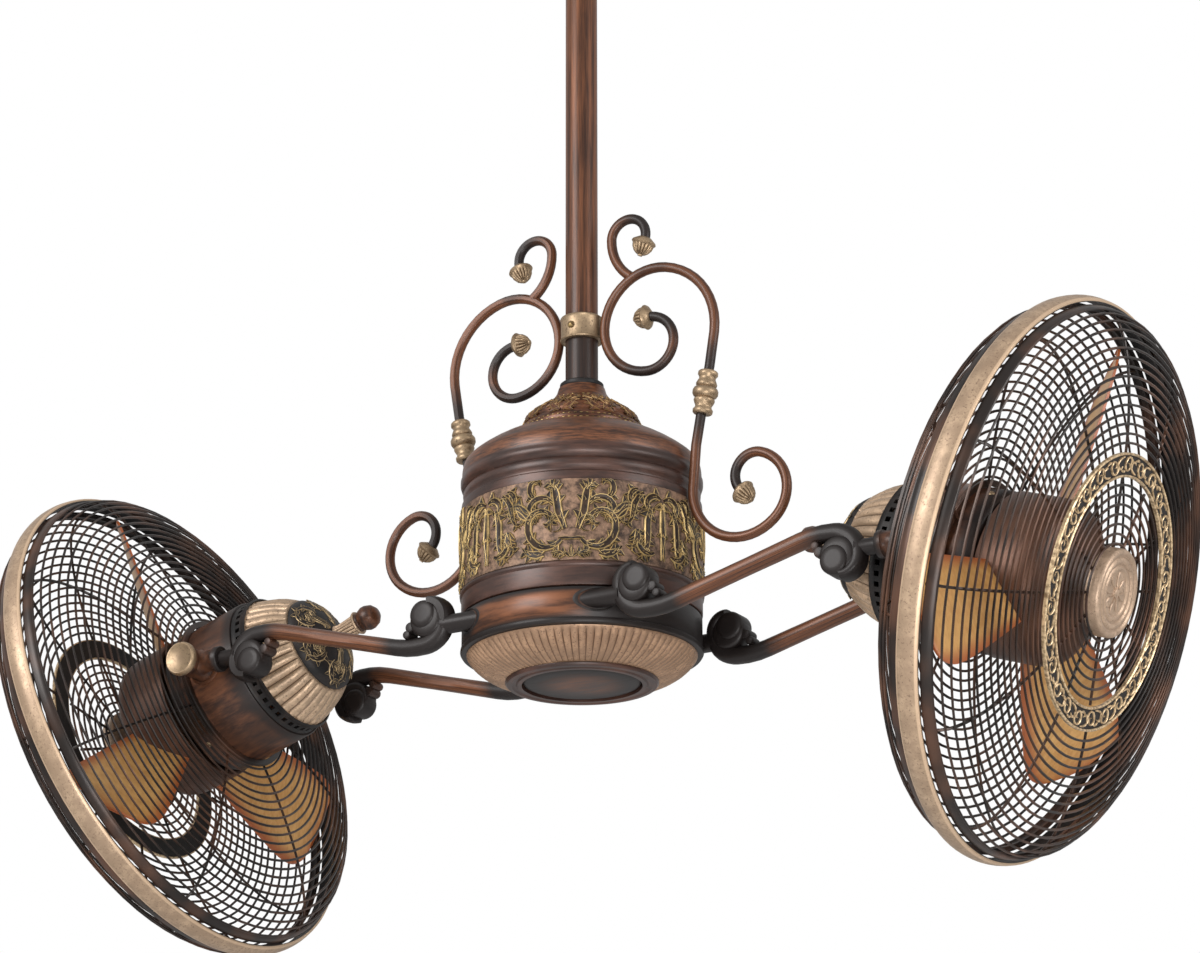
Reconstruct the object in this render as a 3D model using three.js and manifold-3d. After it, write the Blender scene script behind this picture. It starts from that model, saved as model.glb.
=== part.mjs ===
// Twin head ceiling fan: two caged fans on scrolled arms that turn round a hanging hub.
// Millimetres, +Z up. The ceiling is the plane z = 0 and the hub turns round the Z axis.
// Heights in the hub are given above the joint between its fixed and its turning half.
import * as THREE from "three";
import { mergeVertices } from "three/addons/utils/BufferGeometryUtils.js";
import Module from "manifold-3d";

const wasm = await Module();
wasm.setup();
const radians = THREE.MathUtils.degToRad;

// ---- Clearances ----
const seatGap = 0.3; // between pieces that bear on each other
const turningGap = 0.8; // between pieces that turn past each other

// ---- Sides of round pieces ----
const largeSides = 20;
const mediumSides = 16;
const smallSides = 10;
const tinySides = 8;

// ---- What sets the widths: the motor housing sets the arms, and the arms set the hub ----
const housingRadius = 62;
const knuckleLength = 26;
const knuckleClearance = 1; // between the housing and the knuckles beside it
const armSpacing = housingRadius + knuckleClearance + knuckleLength / 2; // from the middle plane
const rotorMargin = 20; // from the arms' middle out to the rim of the turning half
const rotorRadius = armSpacing + rotorMargin;
const hubRadius = rotorRadius + 1;

// ---- Ceiling end and downrod ----
const ceilingToJoint = 665;
const rodRadius = 13.35;
const rodBore = 10.5;
const rodBottom = 186;
const rodPinRadius = 3;
const swingAngle = 4; // the hanger ball lets the rod swing this far each way
const bracketWidth = 60;
const bracketLength = 100;
const bracketPlate = 3;
const bracketEarWidth = 18; // the ears that the canopy is screwed to
const ballRadius = 27;
const ballDepth = 40;
const ballRings = 4;
const cupWall = 3;
const cupFloor = 16; // below the ball's middle
const cupWindowWidth = 34; // the gap in each side that the rod is slid in through
const cupWindowDepth = 30;
const cableHoleRadius = 7;
const cableHoleOffset = 15;
const boxScrewSpacing = 88.9; // the two screw holes of a ceiling outlet box
const boxScrewHole = 2.6;
const canopyRadius = 68;
const canopyHeight = 78;
const canopyWall = 1.5;
const canopyTopGap = 2;
const canopyRodGap = 8; // left round the rod at the end of its swing

// ---- Hub, fixed half ----
const collarRadius = 18;
const collarFlange = 4;
const collarBodyRadius = 15.8;
const collarBottom = 160;
const collarTop = 201;
const domeRadius = 48;
const domeFoot = 159;
const domeWall = 2.5;
const roofEdge = 115;
const roofShoulder = 148;
const roofWall = 3;
const mouldingBottom = 87;
const bandRadius = hubRadius + 2.6;
const drumRadius = hubRadius - 1.5; // of the housing's wall behind the band
const bandBottom = 20;
const bandMotifs = 10;
const bandMotifWidth = 24;
const bandRail = 9;
const lowerRingRadius = hubRadius - 0.5;
const lowerRingBottom = 0.5;
const shaftRadius = 10;
const shaftBore = 6.5;
const flangeRadius = 44;
const flangeThickness = 5;
const flangeTop = 150;

// ---- Hub, turning half ----
const rotorTop = -0.5;
const rotorRim = -25;
const rotorFoot = -30;
const rotorWall = 3;
const framePlate = 4;
const bowlTopRadius = rotorRadius - 4;
const bowlMiddleRadius = bowlTopRadius - 13;
const bowlFootRadius = bowlTopRadius - 32;
const bowlMiddle = -43.5;
const bowlFoot = -51;
const bowlWall = 2.5;
const bowlFlutes = 14;
const fluteDepth = 1.8;
const trimInnerRadius = bowlFootRadius - 12;
const trimDepth = 3;
const shaftHeadRadius = 15;
const shaftHeadDepth = 7;
const bearingRadius = 24;
const bearingDepth = 12;
const bearingSleeve = 5;
const bearingLip = 3; // hangs the turning half on top of the bearing
const slipRingRadius = 17;
const slipRingFlange = 23;
const slipRingDepth = 22;

// ---- Scroll ornaments on the rod ----
const scrollTube = 4.1;
const scrollSides = 5;
const scrollStep = 32; // degrees of bend to a step
const clampHeight = 248;
const clampDepth = 20;
const clampWall = 4.15;
const clampRadius = rodRadius + seatGap + clampWall;
const finialRadius = 10;
const finialLength = 14;
const ferruleReach = hubRadius + 17.5;
const ferruleRadius = 8.2;
const ferruleLength = 34;

// ---- Arms and knuckles ----
const tiltAxisReach = 327.4;
const armOffset = 34.6; // the arm's ends stand this much further from the hub than from the tilt axis
const armMiddle = (tiltAxisReach + armOffset) / 2;
const armHeight = -8.3; // of the arm's middle
const armWidth = 14;
const armSides = 6;
const armThickness = 12.5;
const armRootThickness = 16;
const volutePlate = 20;
const voluteEye = 7.5;
const budRadius = 6;
const spigotRadius = 7.6;
const spigotFoot = 16; // how far out from the hub's axis the spigot starts
const hubSpigotHeight = -10.8;
const headSpigotRadius = 6.6;
const knuckleRadius = 12.5;
const branchRadius = 9.5;
const branchLength = 23;
const branchCollar = 6;
const branchCollarRadius = 10.7;

// ---- Tilting head; lengths run forward from the tilt axis ----
const tiltAxisHeight = -6.8;
const tiltDown = 18.5;
const housingWall = 3;
const housingRear = -30;
const housingFront = 41;
const bossRadius = 15;
const trunnionRadius = 6.6;
const trunnionLong = 23;
const trunnionShort = 12; // on the side of the pull knob, whose plunger meets its end
const ventRear = -42;
const ventRadius = housingRadius - 2;
const ventSlots = 8;
const ventBar = 22;
const ventRail = 4;
const ventWall = 6;
const coneRear = -74.5;
const coneRearRadius = ventRadius - 18.5;
const coneFrontRadius = ventRadius - 2.5;
const coneMiddleRadius = ventRadius - 7.5;
const coneMiddle = -57;
const coneWall = 2.5;
const coneFlutes = 12;
const capRadius = coneRearRadius - 0.9;
const capApex = -96;
const handleTip = -138;
const handleBall = 10.5;
const handleStem = 6;
const statorFront = 22;
const statorRear = -18;
const statorBore = 30;
const shaftRear = -28;
const shaftTip = 82;
const motorShaftRadius = 5;

// ---- Blades ----
const bladeCount = 3;
const hubCupRadius = housingRadius + 1;
const hubCupRear = 44;
const hubCupFront = 98;
const hubCupWall = 3;
const bladeStart = -8; // degrees of the first blade from straight up
const bladeTip = 185;
const bladePlane = 68;
const bladeThickness = 2.2;
const bladeRootChord = 52;
const bladeWidestChord = 88;
const bladeRootPitch = 38;
const bladeTipPitch = 28;

// ---- Guards ----
const hoopMiddle = 76;
const hoopWidth = 17;
const hoopBore = 208.5;
const hoopWall = 2.4;
const hoopCrown = 1.8;
const hoopSides = 32;
const wireWidth = 2.6;
const rimDepth = 5;
const guardSwell = 1.6; // shapes the guards' domes near the middle
const rearShoulder = 0.39; // shape the domes near the rims: the smaller, the rounder
const frontShoulder = 0.36;
const rearBars = 8;
const rearRings = 2; // between the flange and the rim
const rearFlange = 5;
const rearFlat = 18;
const frontBars = 12;
const frontRings = 1; // between the ornament ring and the rim
const frontFlat = 125;
const ornamentInner = 85;
const ornamentOuter = 103;
const medallionRadius = 33.3;
const medallionThickness = 5;
const medallionSeat = 28;

// ---- Pull knob ----
const knobRadius = 14.2;
const knobThickness = 7;
const plungerRadius = 4;

// ---- Finishes ----
const finishes = {
  bronze: { color: 0x3a2b26, roughness: 0.45, metalness: 0.7 },
  copper: { color: 0x7a4126, roughness: 0.42, metalness: 0.6 },
  black: { color: 0x201c1c, roughness: 0.5, metalness: 0.6 },
  pewter: { color: 0xa58f6c, roughness: 0.5, metalness: 0.75 },
  gilt: { color: 0x8f7a48, roughness: 0.45, metalness: 0.8 },
  amber: { color: 0xb9803f, roughness: 0.5, metalness: 0.1 },
  steel: { color: 0x9a9a98, roughness: 0.35, metalness: 0.9 },
  winding: { color: 0x8c4a22, roughness: 0.6, metalness: 0.4 },
};

// ---- Solids ----

/** Drops what only rendering needs, welds the seams and turns the faces outward. */
function weld(geometry) {
  const bare = geometry.clone();
  bare.deleteAttribute("normal");
  bare.deleteAttribute("uv");
  const welded = mergeVertices(bare, 1e-4);
  const place = welded.attributes.position;
  const index = welded.index.array;
  const corner = [new THREE.Vector3(), new THREE.Vector3(), new THREE.Vector3()];
  let volume = 0;
  for (let i = 0; i < index.length; i += 3) {
    corner.forEach((point, k) => point.fromBufferAttribute(place, index[i + k]));
    volume += corner[0].dot(corner[1].clone().cross(corner[2]));
  }
  if (volume < 0) {
    for (let i = 0; i < index.length; i += 3) {
      [index[i], index[i + 1]] = [index[i + 1], index[i]];
    }
  }
  return welded;
}

function toManifold(geometry) {
  const welded = weld(geometry);
  return new wasm.Manifold(new wasm.Mesh({
    numProp: 3,
    vertProperties: new Float32Array(welded.attributes.position.array),
    triVerts: new Uint32Array(welded.index.array),
  }));
}

function toGeometry(manifold) {
  const mesh = manifold.getMesh();
  const geometry = new THREE.BufferGeometry();
  geometry.setAttribute("position", new THREE.BufferAttribute(mesh.vertProperties, 3));
  geometry.setIndex(new THREE.BufferAttribute(mesh.triVerts, 1));
  return geometry;
}

function join(...geometries) {
  return toGeometry(geometries.map(toManifold).reduce((sum, next) => sum.add(next)));
}

function cut(geometry, ...tools) {
  return toGeometry(tools.map(toManifold).reduce((rest, tool) => rest.subtract(tool), toManifold(geometry)));
}

/** Revolves [radius, height, groove] points round Z; a groove sinks every other side. */
function revolve(profile, sides) {
  const points = profile.map(([radius, height]) => new THREE.Vector2(radius, height));
  const geometry = new THREE.LatheGeometry(points, sides);
  const place = geometry.attributes.position;
  for (let i = 0; i < place.count; i += 1) {
    const [radius, , groove = 0] = profile[i % profile.length];
    if (groove > 0 && Math.floor(i / profile.length) % 2 === 1) {
      const scale = (radius - groove) / radius;
      place.setX(i, place.getX(i) * scale);
      place.setZ(i, place.getZ(i) * scale);
    }
  }
  return geometry.rotateX(Math.PI / 2);
}

/** A ring or tube round Z between two radii and two heights. */
function tube(inner, outer, low, high, sides) {
  return revolve([[inner, low], [outer, low], [outer, high], [inner, high], [inner, low]], sides);
}

function rod(radius, low, high, sides) {
  return revolve([[0, low], [radius, low], [radius, high], [0, high]], sides);
}

/** The corner radius of a bore whose flats clear a round of the given radius. */
function boreAround(radius, sides) {
  return radius / Math.cos(Math.PI / sides);
}

const alongX = (geometry) => geometry.rotateY(Math.PI / 2);
const alongY = (geometry) => geometry.rotateX(-Math.PI / 2);

/**
 * Rings joined by bars, all flush: a revolved sheet with windows. A ring has two edges, each with
 * a point on either face, [radius, height], and its own number of straight segments between two
 * bars. Bars keep their width at every radius.
 */
function lattice({ rings, bars, barWidth }) {
  const positions = [];
  const index = [];
  const quad = (a, b, c, d) => index.push(a, b, c, a, c, d);
  const placed = rings.map(({ edges, segments }) => {
    const columns = bars * (segments + 1);
    const firsts = edges.map((edge) => {
      const first = positions.length / 3;
      for (let column = 0; column < columns; column += 1) {
        const angle = columnAngle(edge[0][0], column, segments, bars, barWidth);
        edge.forEach(([radius, height]) => {
          positions.push(radius * Math.cos(angle), radius * Math.sin(angle), height);
        });
      }
      return first;
    });
    return { segments, vertex: (edge, column, side) => firsts[edge] + (column % columns) * 2 + side };
  });
  placed.forEach(({ segments, vertex }, ring) => {
    const ends = [ring === 0, ring === placed.length - 1];
    for (let column = 0; column < bars * (segments + 1); column += 1) {
      const next = column + 1;
      const isBar = column % (segments + 1) === 0;
      quad(vertex(0, column, 0), vertex(1, column, 0), vertex(1, next, 0), vertex(0, next, 0));
      quad(vertex(0, next, 1), vertex(1, next, 1), vertex(1, column, 1), vertex(0, column, 1));
      if (ends[0] || !isBar) quad(vertex(0, column, 1), vertex(0, column, 0), vertex(0, next, 0), vertex(0, next, 1));
      if (ends[1] || !isBar) quad(vertex(1, next, 1), vertex(1, next, 0), vertex(1, column, 0), vertex(1, column, 1));
    }
  });
  for (let ring = 0; ring + 1 < placed.length; ring += 1) {
    const [inner, outer] = [placed[ring], placed[ring + 1]];
    for (let bar = 0; bar < bars; bar += 1) {
      const inside = (step, side) => inner.vertex(1, bar * (inner.segments + 1) + step, side);
      const outside = (step, side) => outer.vertex(0, bar * (outer.segments + 1) + step, side);
      quad(inside(0, 0), outside(0, 0), outside(1, 0), inside(1, 0));
      quad(inside(1, 1), outside(1, 1), outside(0, 1), inside(0, 1));
      quad(inside(0, 1), outside(0, 1), outside(0, 0), inside(0, 0));
      quad(inside(1, 0), outside(1, 0), outside(1, 1), inside(1, 1));
    }
  }
  const geometry = new THREE.BufferGeometry();
  geometry.setAttribute("position", new THREE.Float32BufferAttribute(positions, 3));
  geometry.setIndex(index);
  return geometry;
}

/** The angle of a lattice column: the two sides of each bar, then even steps to the next bar. */
function columnAngle(radius, column, segments, bars, barWidth) {
  const bay = Math.floor(column / (segments + 1));
  const step = column % (segments + 1);
  const half = Math.asin(barWidth / (2 * radius));
  const pitch = (2 * Math.PI) / bars;
  const share = Math.max(step - 1, 0) / segments;
  return bay * pitch + (step === 0 ? -half : half + share * (pitch - 2 * half));
}

/** A chain of tangent arcs in the XZ plane, each [radius, degrees]; left turns are positive. */
function arcChain([x, z], heading, arcs, degreesPerStep) {
  const stations = [{ x, z, heading: radians(heading) }];
  arcs.forEach(([radius, turn]) => {
    const steps = Math.max(1, Math.round(Math.abs(turn) / degreesPerStep));
    const side = Math.sign(turn);
    const start = stations.at(-1);
    const centreX = start.x - Math.sin(start.heading) * radius * side;
    const centreZ = start.z + Math.cos(start.heading) * radius * side;
    for (let step = 1; step <= steps; step += 1) {
      const angle = start.heading + (radians(turn) * step) / steps;
      stations.push({
        x: centreX + Math.sin(angle) * radius * side,
        z: centreZ - Math.cos(angle) * radius * side,
        heading: angle,
      });
    }
  });
  return stations;
}

/** Sweeps a rounded section along stations; size(share) gives [thickness, width]. */
function sweep(stations, sides, size) {
  const positions = [];
  stations.forEach((station, i) => {
    const [thickness, width] = size(i / (stations.length - 1));
    for (let side = 0; side < sides; side += 1) {
      const angle = (2 * Math.PI * (side + 0.5)) / sides;
      const off = (thickness / 2) * Math.sin(angle);
      positions.push(
        station.x - Math.sin(station.heading) * off,
        (width / 2) * Math.cos(angle),
        station.z + Math.cos(station.heading) * off,
      );
    }
  });
  const index = [];
  for (let i = 0; i + 1 < stations.length; i += 1) {
    for (let side = 0; side < sides; side += 1) {
      const [a, b] = [i * sides + side, i * sides + ((side + 1) % sides)];
      index.push(a, b, b + sides, a, b + sides, a + sides);
    }
  }
  const last = (stations.length - 1) * sides;
  for (let side = 1; side + 1 < sides; side += 1) {
    index.push(0, side + 1, side, last, last + side, last + side + 1);
  }
  const geometry = new THREE.BufferGeometry();
  geometry.setAttribute("position", new THREE.Float32BufferAttribute(positions, 3));
  geometry.setIndex(index);
  return geometry;
}

/** Adds one named piece with its finish to a group. */
function add(group, name, geometry, finish) {
  const solid = toGeometry(toManifold(geometry));
  solid.computeVertexNormals();
  const mesh = new THREE.Mesh(solid, new THREE.MeshStandardMaterial(finishes[finish]));
  mesh.name = name;
  group.add(mesh);
}

// ---- Ceiling end ----

const ballCentre = -(bracketPlate + cupWindowDepth + 4);

/** The ceiling plate with its two canopy ears and the cup that the hanger ball sits in. */
function hangerBracket() {
  const inside = (below) => turningGap + Math.sqrt(ballRadius ** 2 - below ** 2);
  const cupRadius = inside(0) + cupWall;
  const top = -bracketPlate + 1;
  const [belt, floor] = [cupFloor * 0.6, cupFloor];
  const cup = revolve([
    [cupRadius, top], [cupRadius, ballCentre], [inside(floor) + cupWall, ballCentre - floor],
    [inside(floor), ballCentre - floor], [inside(belt), ballCentre - belt],
    [inside(0), ballCentre], [inside(0), top], [cupRadius, top],
  ], mediumSides);
  const slab = (length, width) => new THREE.BoxGeometry(length, width, bracketPlate)
    .translate(0, 0, -bracketPlate / 2);
  const turn = Math.PI / largeSides;
  const flat = (canopyRadius - canopyWall) * Math.cos(turn) - seatGap;
  const earReach = (flat - (bracketEarWidth / 2) * Math.sin(turn)) / Math.cos(turn);
  const plate = join(slab(bracketLength, bracketWidth), slab(2 * earReach, bracketEarWidth));
  const window = new THREE.BoxGeometry(2 * cupRadius + 2, cupWindowWidth, cupWindowDepth)
    .translate(0, 0, -bracketPlate - cupWindowDepth / 2 - 0.01);
  const hole = (radius, x, y) => rod(radius, -bracketPlate - 1, 1, tinySides).translate(x, y, 0);
  return cut(
    join(plate, cup),
    window,
    hole(cableHoleRadius, 0, cableHoleOffset),
    hole(boxScrewHole, boxScrewSpacing / 2, 0),
    hole(boxScrewHole, -boxScrewSpacing / 2, 0),
  );
}

function hangerBall() {
  const half = ballDepth / 2;
  const outer = Array.from({ length: ballRings + 1 }, (_, i) => {
    const height = -half + (ballDepth * i) / ballRings;
    return [Math.sqrt(ballRadius ** 2 - height ** 2), height];
  });
  const bore = rodRadius + seatGap;
  const ball = revolve([[bore, -half], ...outer, [bore, half], [bore, -half]], mediumSides);
  return ball.translate(0, 0, ballCentre);
}

/** The pipe, with the pin across its bore that locks the hanger ball to it. */
function downrod() {
  const top = ballCentre + ballDepth / 2;
  const pinReach = (rodBore + rodRadius) / 2;
  const pin = alongY(rod(rodPinRadius, -pinReach, pinReach, 6));
  const pipe = tube(rodBore, rodRadius, rodBottom - ceilingToJoint, top, mediumSides);
  return join(pipe, pin.translate(0, 0, ballCentre));
}

function canopy() {
  const top = -canopyTopGap;
  const bottom = -canopyHeight;
  const swing = (bottom - ballCentre) * Math.tan(radians(-swingAngle));
  const rim = rodRadius + swing + canopyRodGap;
  const inner = canopyRadius - canopyWall;
  return revolve([
    [rim, bottom], [42, bottom + 4], [54, bottom + 18], [canopyRadius - 4, bottom + 52],
    [canopyRadius, bottom + 62], [canopyRadius, top], [inner, top], [inner, bottom + 62],
    [54 - canopyWall, bottom + 20], [rim, bottom + canopyWall], [rim, bottom],
  ], largeSides);
}

// ---- Hub, fixed half ----

function rodCollar() {
  const socket = rodRadius + seatGap;
  return revolve([
    [shaftRadius + seatGap, collarBottom], [collarBodyRadius, collarBottom],
    [collarBodyRadius, collarTop - collarFlange], [collarRadius, collarTop - collarFlange],
    [collarRadius, collarTop - 1], [collarRadius - 1, collarTop], [socket, collarTop],
    [socket, rodBottom - seatGap], [shaftRadius + seatGap, rodBottom - seatGap],
    [shaftRadius + seatGap, collarBottom],
  ], mediumSides);
}

function domeCover() {
  const top = collarTop - collarFlange - seatGap;
  const neck = collarBodyRadius + seatGap;
  return revolve([
    [neck, top], [neck + domeWall, top], [28, 181], [42, 171], [domeRadius, domeFoot + 3],
    [domeRadius, domeFoot], [domeRadius - domeWall, domeFoot], [42 - domeWall, 169],
    [neck, top - 8], [neck, top],
  ], largeSides);
}

/** The roof, its mouldings and the drum that the ornament band goes round. */
function upperHousing() {
  const roofSeat = domeFoot - seatGap;
  const bore = collarBodyRadius + seatGap;
  const underside = flangeTop + seatGap;
  return revolve([
    [bore, underside], [flangeRadius, underside], [drumRadius - roofWall, roofEdge + 4],
    [drumRadius - roofWall, bandBottom], [drumRadius, bandBottom], [drumRadius, mouldingBottom],
    [hubRadius, mouldingBottom], [hubRadius, mouldingBottom + 7], [hubRadius - 2.5, mouldingBottom + 10],
    [hubRadius - 2.5, mouldingBottom + 17], [hubRadius, mouldingBottom + 20], [hubRadius + 1, roofEdge],
    [hubRadius - 1, roofEdge + 14], [hubRadius - 15, roofShoulder], [domeRadius, roofSeat], [bore, underside + roofWall],
    [bore, underside],
  ], largeSides);
}

function ornamentBand() {
  const top = mouldingBottom - seatGap;
  const bore = boreAround(drumRadius + seatGap, largeSides);
  const rails = [[bandBottom, bandBottom + bandRail], [top - bandRail, top]];
  return cylinderLattice(bore, bandRadius, rails, bandMotifs, bandMotifWidth, 2);
}

/** Rings stacked up a cylinder, each [low, high], and joined by upright bars. */
function cylinderLattice(inner, outer, levels, bars, barWidth, segments) {
  const rings = levels.map((level) => ({
    edges: level.map((height) => [[outer, height], [inner, height]]),
    segments,
  }));
  return lattice({ rings, bars, barWidth });
}

function lowerRing() {
  const top = bandBottom - seatGap;
  const inner = drumRadius - roofWall;
  return revolve([
    [inner, top], [lowerRingRadius + 1.5, top], [lowerRingRadius, top - 4],
    [lowerRingRadius, lowerRingBottom], [inner, lowerRingBottom], [inner, top],
  ], largeSides);
}

// The bearing sits on the shaft's head, between the rotor frame's plate and its lip.
const frameLow = rotorRim + 1;
const frameTop = frameLow + framePlate;
const bearingFoot = frameTop + seatGap;
const bearingTop = bearingFoot + bearingDepth;
const lipTop = bearingTop + seatGap + bearingLip;

/** The hollow spindle: a head under the bearing and the flange that carries the housing. */
function hubShaft() {
  const headTop = bearingFoot - seatGap;
  const foot = headTop - shaftHeadDepth;
  const flangeLow = flangeTop - flangeThickness;
  return revolve([
    [shaftBore, foot], [shaftHeadRadius, foot], [shaftHeadRadius, headTop], [shaftRadius, headTop],
    [shaftRadius, flangeLow], [flangeRadius, flangeLow], [flangeRadius, flangeTop],
    [shaftRadius, flangeTop], [shaftRadius, rodBottom - 2], [shaftBore, rodBottom - 2],
    [shaftBore, foot],
  ], smallSides);
}

function hubBearing() {
  const bore = boreAround(shaftRadius + seatGap, smallSides);
  return tube(bore, bearingRadius, bearingFoot, bearingTop, smallSides);
}

// ---- Hub, turning half ----

const socketRadius = boreAround(spigotRadius + seatGap, tinySides);

/** The carrier inside the hub: a plate, a bearing sleeve and two beams that hold the spigots. */
function rotorFrame() {
  const bore = boreAround(bearingRadius + seatGap, mediumSides);
  const rim = (rotorRadius - rotorWall) * Math.cos(Math.PI / largeSides) - seatGap;
  const sleeve = bore + bearingSleeve;
  const headGap = shaftHeadRadius + 2 * turningGap;
  const frame = revolve([
    [headGap, frameLow], [rim, frameLow], [rim, frameTop], [sleeve, frameTop], [sleeve, lipTop],
    [slipRingRadius, lipTop], [slipRingRadius, lipTop - bearingLip], [bore, lipTop - bearingLip],
    [bore, frameTop], [headGap, frameTop], [headGap, frameLow],
  ], mediumSides);
  const beamTop = rotorTop - 1;
  const beamWidth = 2 * socketRadius + 5;
  const reach = Math.sqrt((rim - 2) ** 2 - (armSpacing + beamWidth / 2) ** 2);
  const beam = new THREE.BoxGeometry(2 * reach, beamWidth, beamTop - frameTop + 1)
    .translate(0, 0, (beamTop + frameTop - 1) / 2);
  const socket = alongX(rod(socketRadius, -reach - 1, reach + 1, tinySides))
    .translate(0, 0, hubSpigotHeight);
  const [frontBeam, backBeam] = [-armSpacing, armSpacing].map((y) => beam.clone().translate(0, y, 0));
  const sockets = [-armSpacing, armSpacing].map((y) => socket.clone().translate(0, y, 0));
  return cut(join(frame, frontBeam, backBeam), ...sockets);
}

function rotorBand() {
  const band = revolve([
    [rotorRadius - rotorWall, rotorTop], [rotorRadius, rotorTop], [rotorRadius, rotorRim],
    [rotorRadius + 1, rotorRim - 2], [bowlTopRadius + 1, rotorFoot], [bowlTopRadius - 4, rotorFoot],
    [rotorRadius - rotorWall, rotorRim - 1], [rotorRadius - rotorWall, rotorTop],
  ], largeSides);
  const holes = [1, -1].map((side) => alongX(rod(socketRadius, -rotorRadius, rotorRadius, tinySides))
    .translate(0, side * armSpacing, hubSpigotHeight));
  return cut(band, ...holes);
}

/** The sleeve that takes the current across the turning joint, on a flange on the frame's lip. */
function slipRing() {
  const low = lipTop + seatGap;
  const bore = boreAround(shaftRadius + turningGap, smallSides);
  return revolve([
    [bore, low], [slipRingFlange, low], [slipRingFlange, low + 2], [slipRingRadius, low + 2],
    [slipRingRadius, low + slipRingDepth], [bore, low + slipRingDepth], [bore, low],
  ], smallSides);
}

function flutedBowl() {
  const top = rotorFoot - seatGap;
  return revolve([
    [bowlTopRadius, top], [bowlTopRadius - 3, top - 5, fluteDepth],
    [bowlMiddleRadius, bowlMiddle, fluteDepth],
    [bowlFootRadius, bowlFoot], [bowlFootRadius, bowlFoot + bowlWall],
    [bowlMiddleRadius - bowlWall - 2, bowlMiddle + bowlWall], [bowlTopRadius - 7, top], [bowlTopRadius, top],
  ], 2 * bowlFlutes);
}

function trimRing() {
  const top = bowlFoot - seatGap;
  const low = top - trimDepth;
  return revolve([
    [trimInnerRadius, low], [trimInnerRadius, top + 4], [trimInnerRadius + 3, top + 4],
    [trimInnerRadius + 3, top], [bowlFootRadius + 1, top], [bowlFootRadius, low], [trimInnerRadius, low],
  ], largeSides);
}

function bottomDisc() {
  const low = bowlFoot - 2;
  const radius = trimInnerRadius - seatGap;
  return revolve([[0, low - 1], [radius - 6, low - 1], [radius, low], [radius, low + 4], [0, low + 4]], largeSides);
}

// ---- Arms ----

// Half of an arm's centre line, from its volute to its middle; the other half is turned round.
const armHalf = [[13, 90], [21.5, 84], [76.5, 21]];
const armCurl = 125; // how much of each half the volute and its neck take up
const armStraight = armMiddle - armCurl; // from the last arc to the arm's middle
const armTipThickness = 6;
const armSwollen = 0.6; // share of each half that swells from the tip
const armStep = 36; // degrees of bend to a step

function arm() {
  const half = arcChain([0, 0], 180, armHalf, armStep);
  const end = half.at(-1);
  const middleX = end.x + Math.cos(end.heading) * armStraight;
  const middleZ = end.z + Math.sin(end.heading) * armStraight;
  const first = half.map(({ x, z, heading }) => ({ x: x - middleX, z: z - middleZ, heading }));
  const second = first.map(({ x, z, heading }) => ({ x: -x, z: -z, heading })).reverse();
  const bar = sweep([...first, ...second], armSides, (share) => {
    const fromEnd = 2 * Math.min(share, 1 - share);
    const swell = Math.min(1, fromEnd / armSwollen);
    const taper = Math.max(0, (fromEnd - armSwollen) / (1 - armSwollen));
    const root = armTipThickness + (armRootThickness - armTipThickness) * swell;
    const thickness = root + (armThickness - armRootThickness) * taper;
    return [thickness, armWidth + (volutePlate - armWidth) * (1 - swell)];
  });
  const start = first[0];
  const pieces = [bar];
  for (const turn of [1, -1]) {
    const eye = alongY(rod(voluteEye, -volutePlate / 2, volutePlate / 2, tinySides));
    pieces.push(eye.translate(turn * (start.x + 1.5), 0, turn * (start.z - 8)));
    const bud = alongY(rod(budRadius, -armWidth / 2 - 1, armWidth / 2 + 1, 6));
    pieces.push(bud.translate(turn * (start.x + 19.5), 0, turn * (start.z - 23)));
  }
  const neck = start.x - armHalf[0][0] + 1;
  const hubSpigot = alongX(rod(spigotRadius, spigotFoot - armMiddle, neck, tinySides));
  pieces.push(hubSpigot.translate(0, 0, hubSpigotHeight - armHeight));
  const tip = tiltAxisReach - knuckleRadius - 2 - armMiddle;
  const headSpigot = alongX(rod(headSpigotRadius, -neck, tip, tinySides));
  pieces.push(headSpigot.translate(0, 0, tiltAxisHeight - armHeight));
  return join(...pieces).translate(armMiddle, 0, armHeight);
}

// ---- Knuckle: a tee that carries the trunnion, on the arm's head spigot ----

function knuckle() {
  const half = knuckleLength / 2;
  const barrel = alongY(rod(knuckleRadius, -half, half, smallSides));
  const reach = branchLength + branchCollar;
  const branch = alongX(revolve([
    [0, -reach], [branchCollarRadius, -reach], [branchCollarRadius, -branchLength],
    [branchRadius, -branchLength], [branchRadius, 0], [0, 0],
  ], tinySides));
  const trunnionBore = boreAround(trunnionRadius + seatGap, smallSides);
  const bore = alongY(rod(trunnionBore, -half - 1, half + 1, smallSides));
  const socketBore = boreAround(headSpigotRadius + seatGap, tinySides);
  const socket = alongX(rod(socketBore, -reach - 1, -knuckleRadius, tinySides));
  return cut(join(barrel, branch), bore, socket);
}

// ---- Head: the axis runs along +X from the tilt axis ----

const bossFace = armSpacing - knuckleLength / 2 - seatGap;

/** The motor's shell, with the bosses and trunnions that it tilts on. */
function motorHousing() {
  const inner = housingRadius - housingWall;
  const bore = boreAround(motorShaftRadius + turningGap, largeSides);
  const pieces = [alongX(revolve([
    [inner, housingRear], [housingRadius, housingRear], [housingRadius, housingFront - 4],
    [housingRadius - 4, housingFront], [bore, housingFront], [bore, housingFront - 9],
    [inner, housingFront - housingWall - 2], [inner, housingRear],
  ], largeSides))];
  for (const [side, length] of [[1, trunnionShort], [-1, trunnionLong]]) {
    const boss = alongY(rod(bossRadius, housingRadius - housingWall + 1, bossFace, smallSides));
    const trunnion = alongY(rod(trunnionRadius, bossFace - 1, bossFace + length, smallSides));
    pieces.push(boss.scale(1, side, 1), trunnion.scale(1, side, 1));
  }
  return join(...pieces);
}

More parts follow.
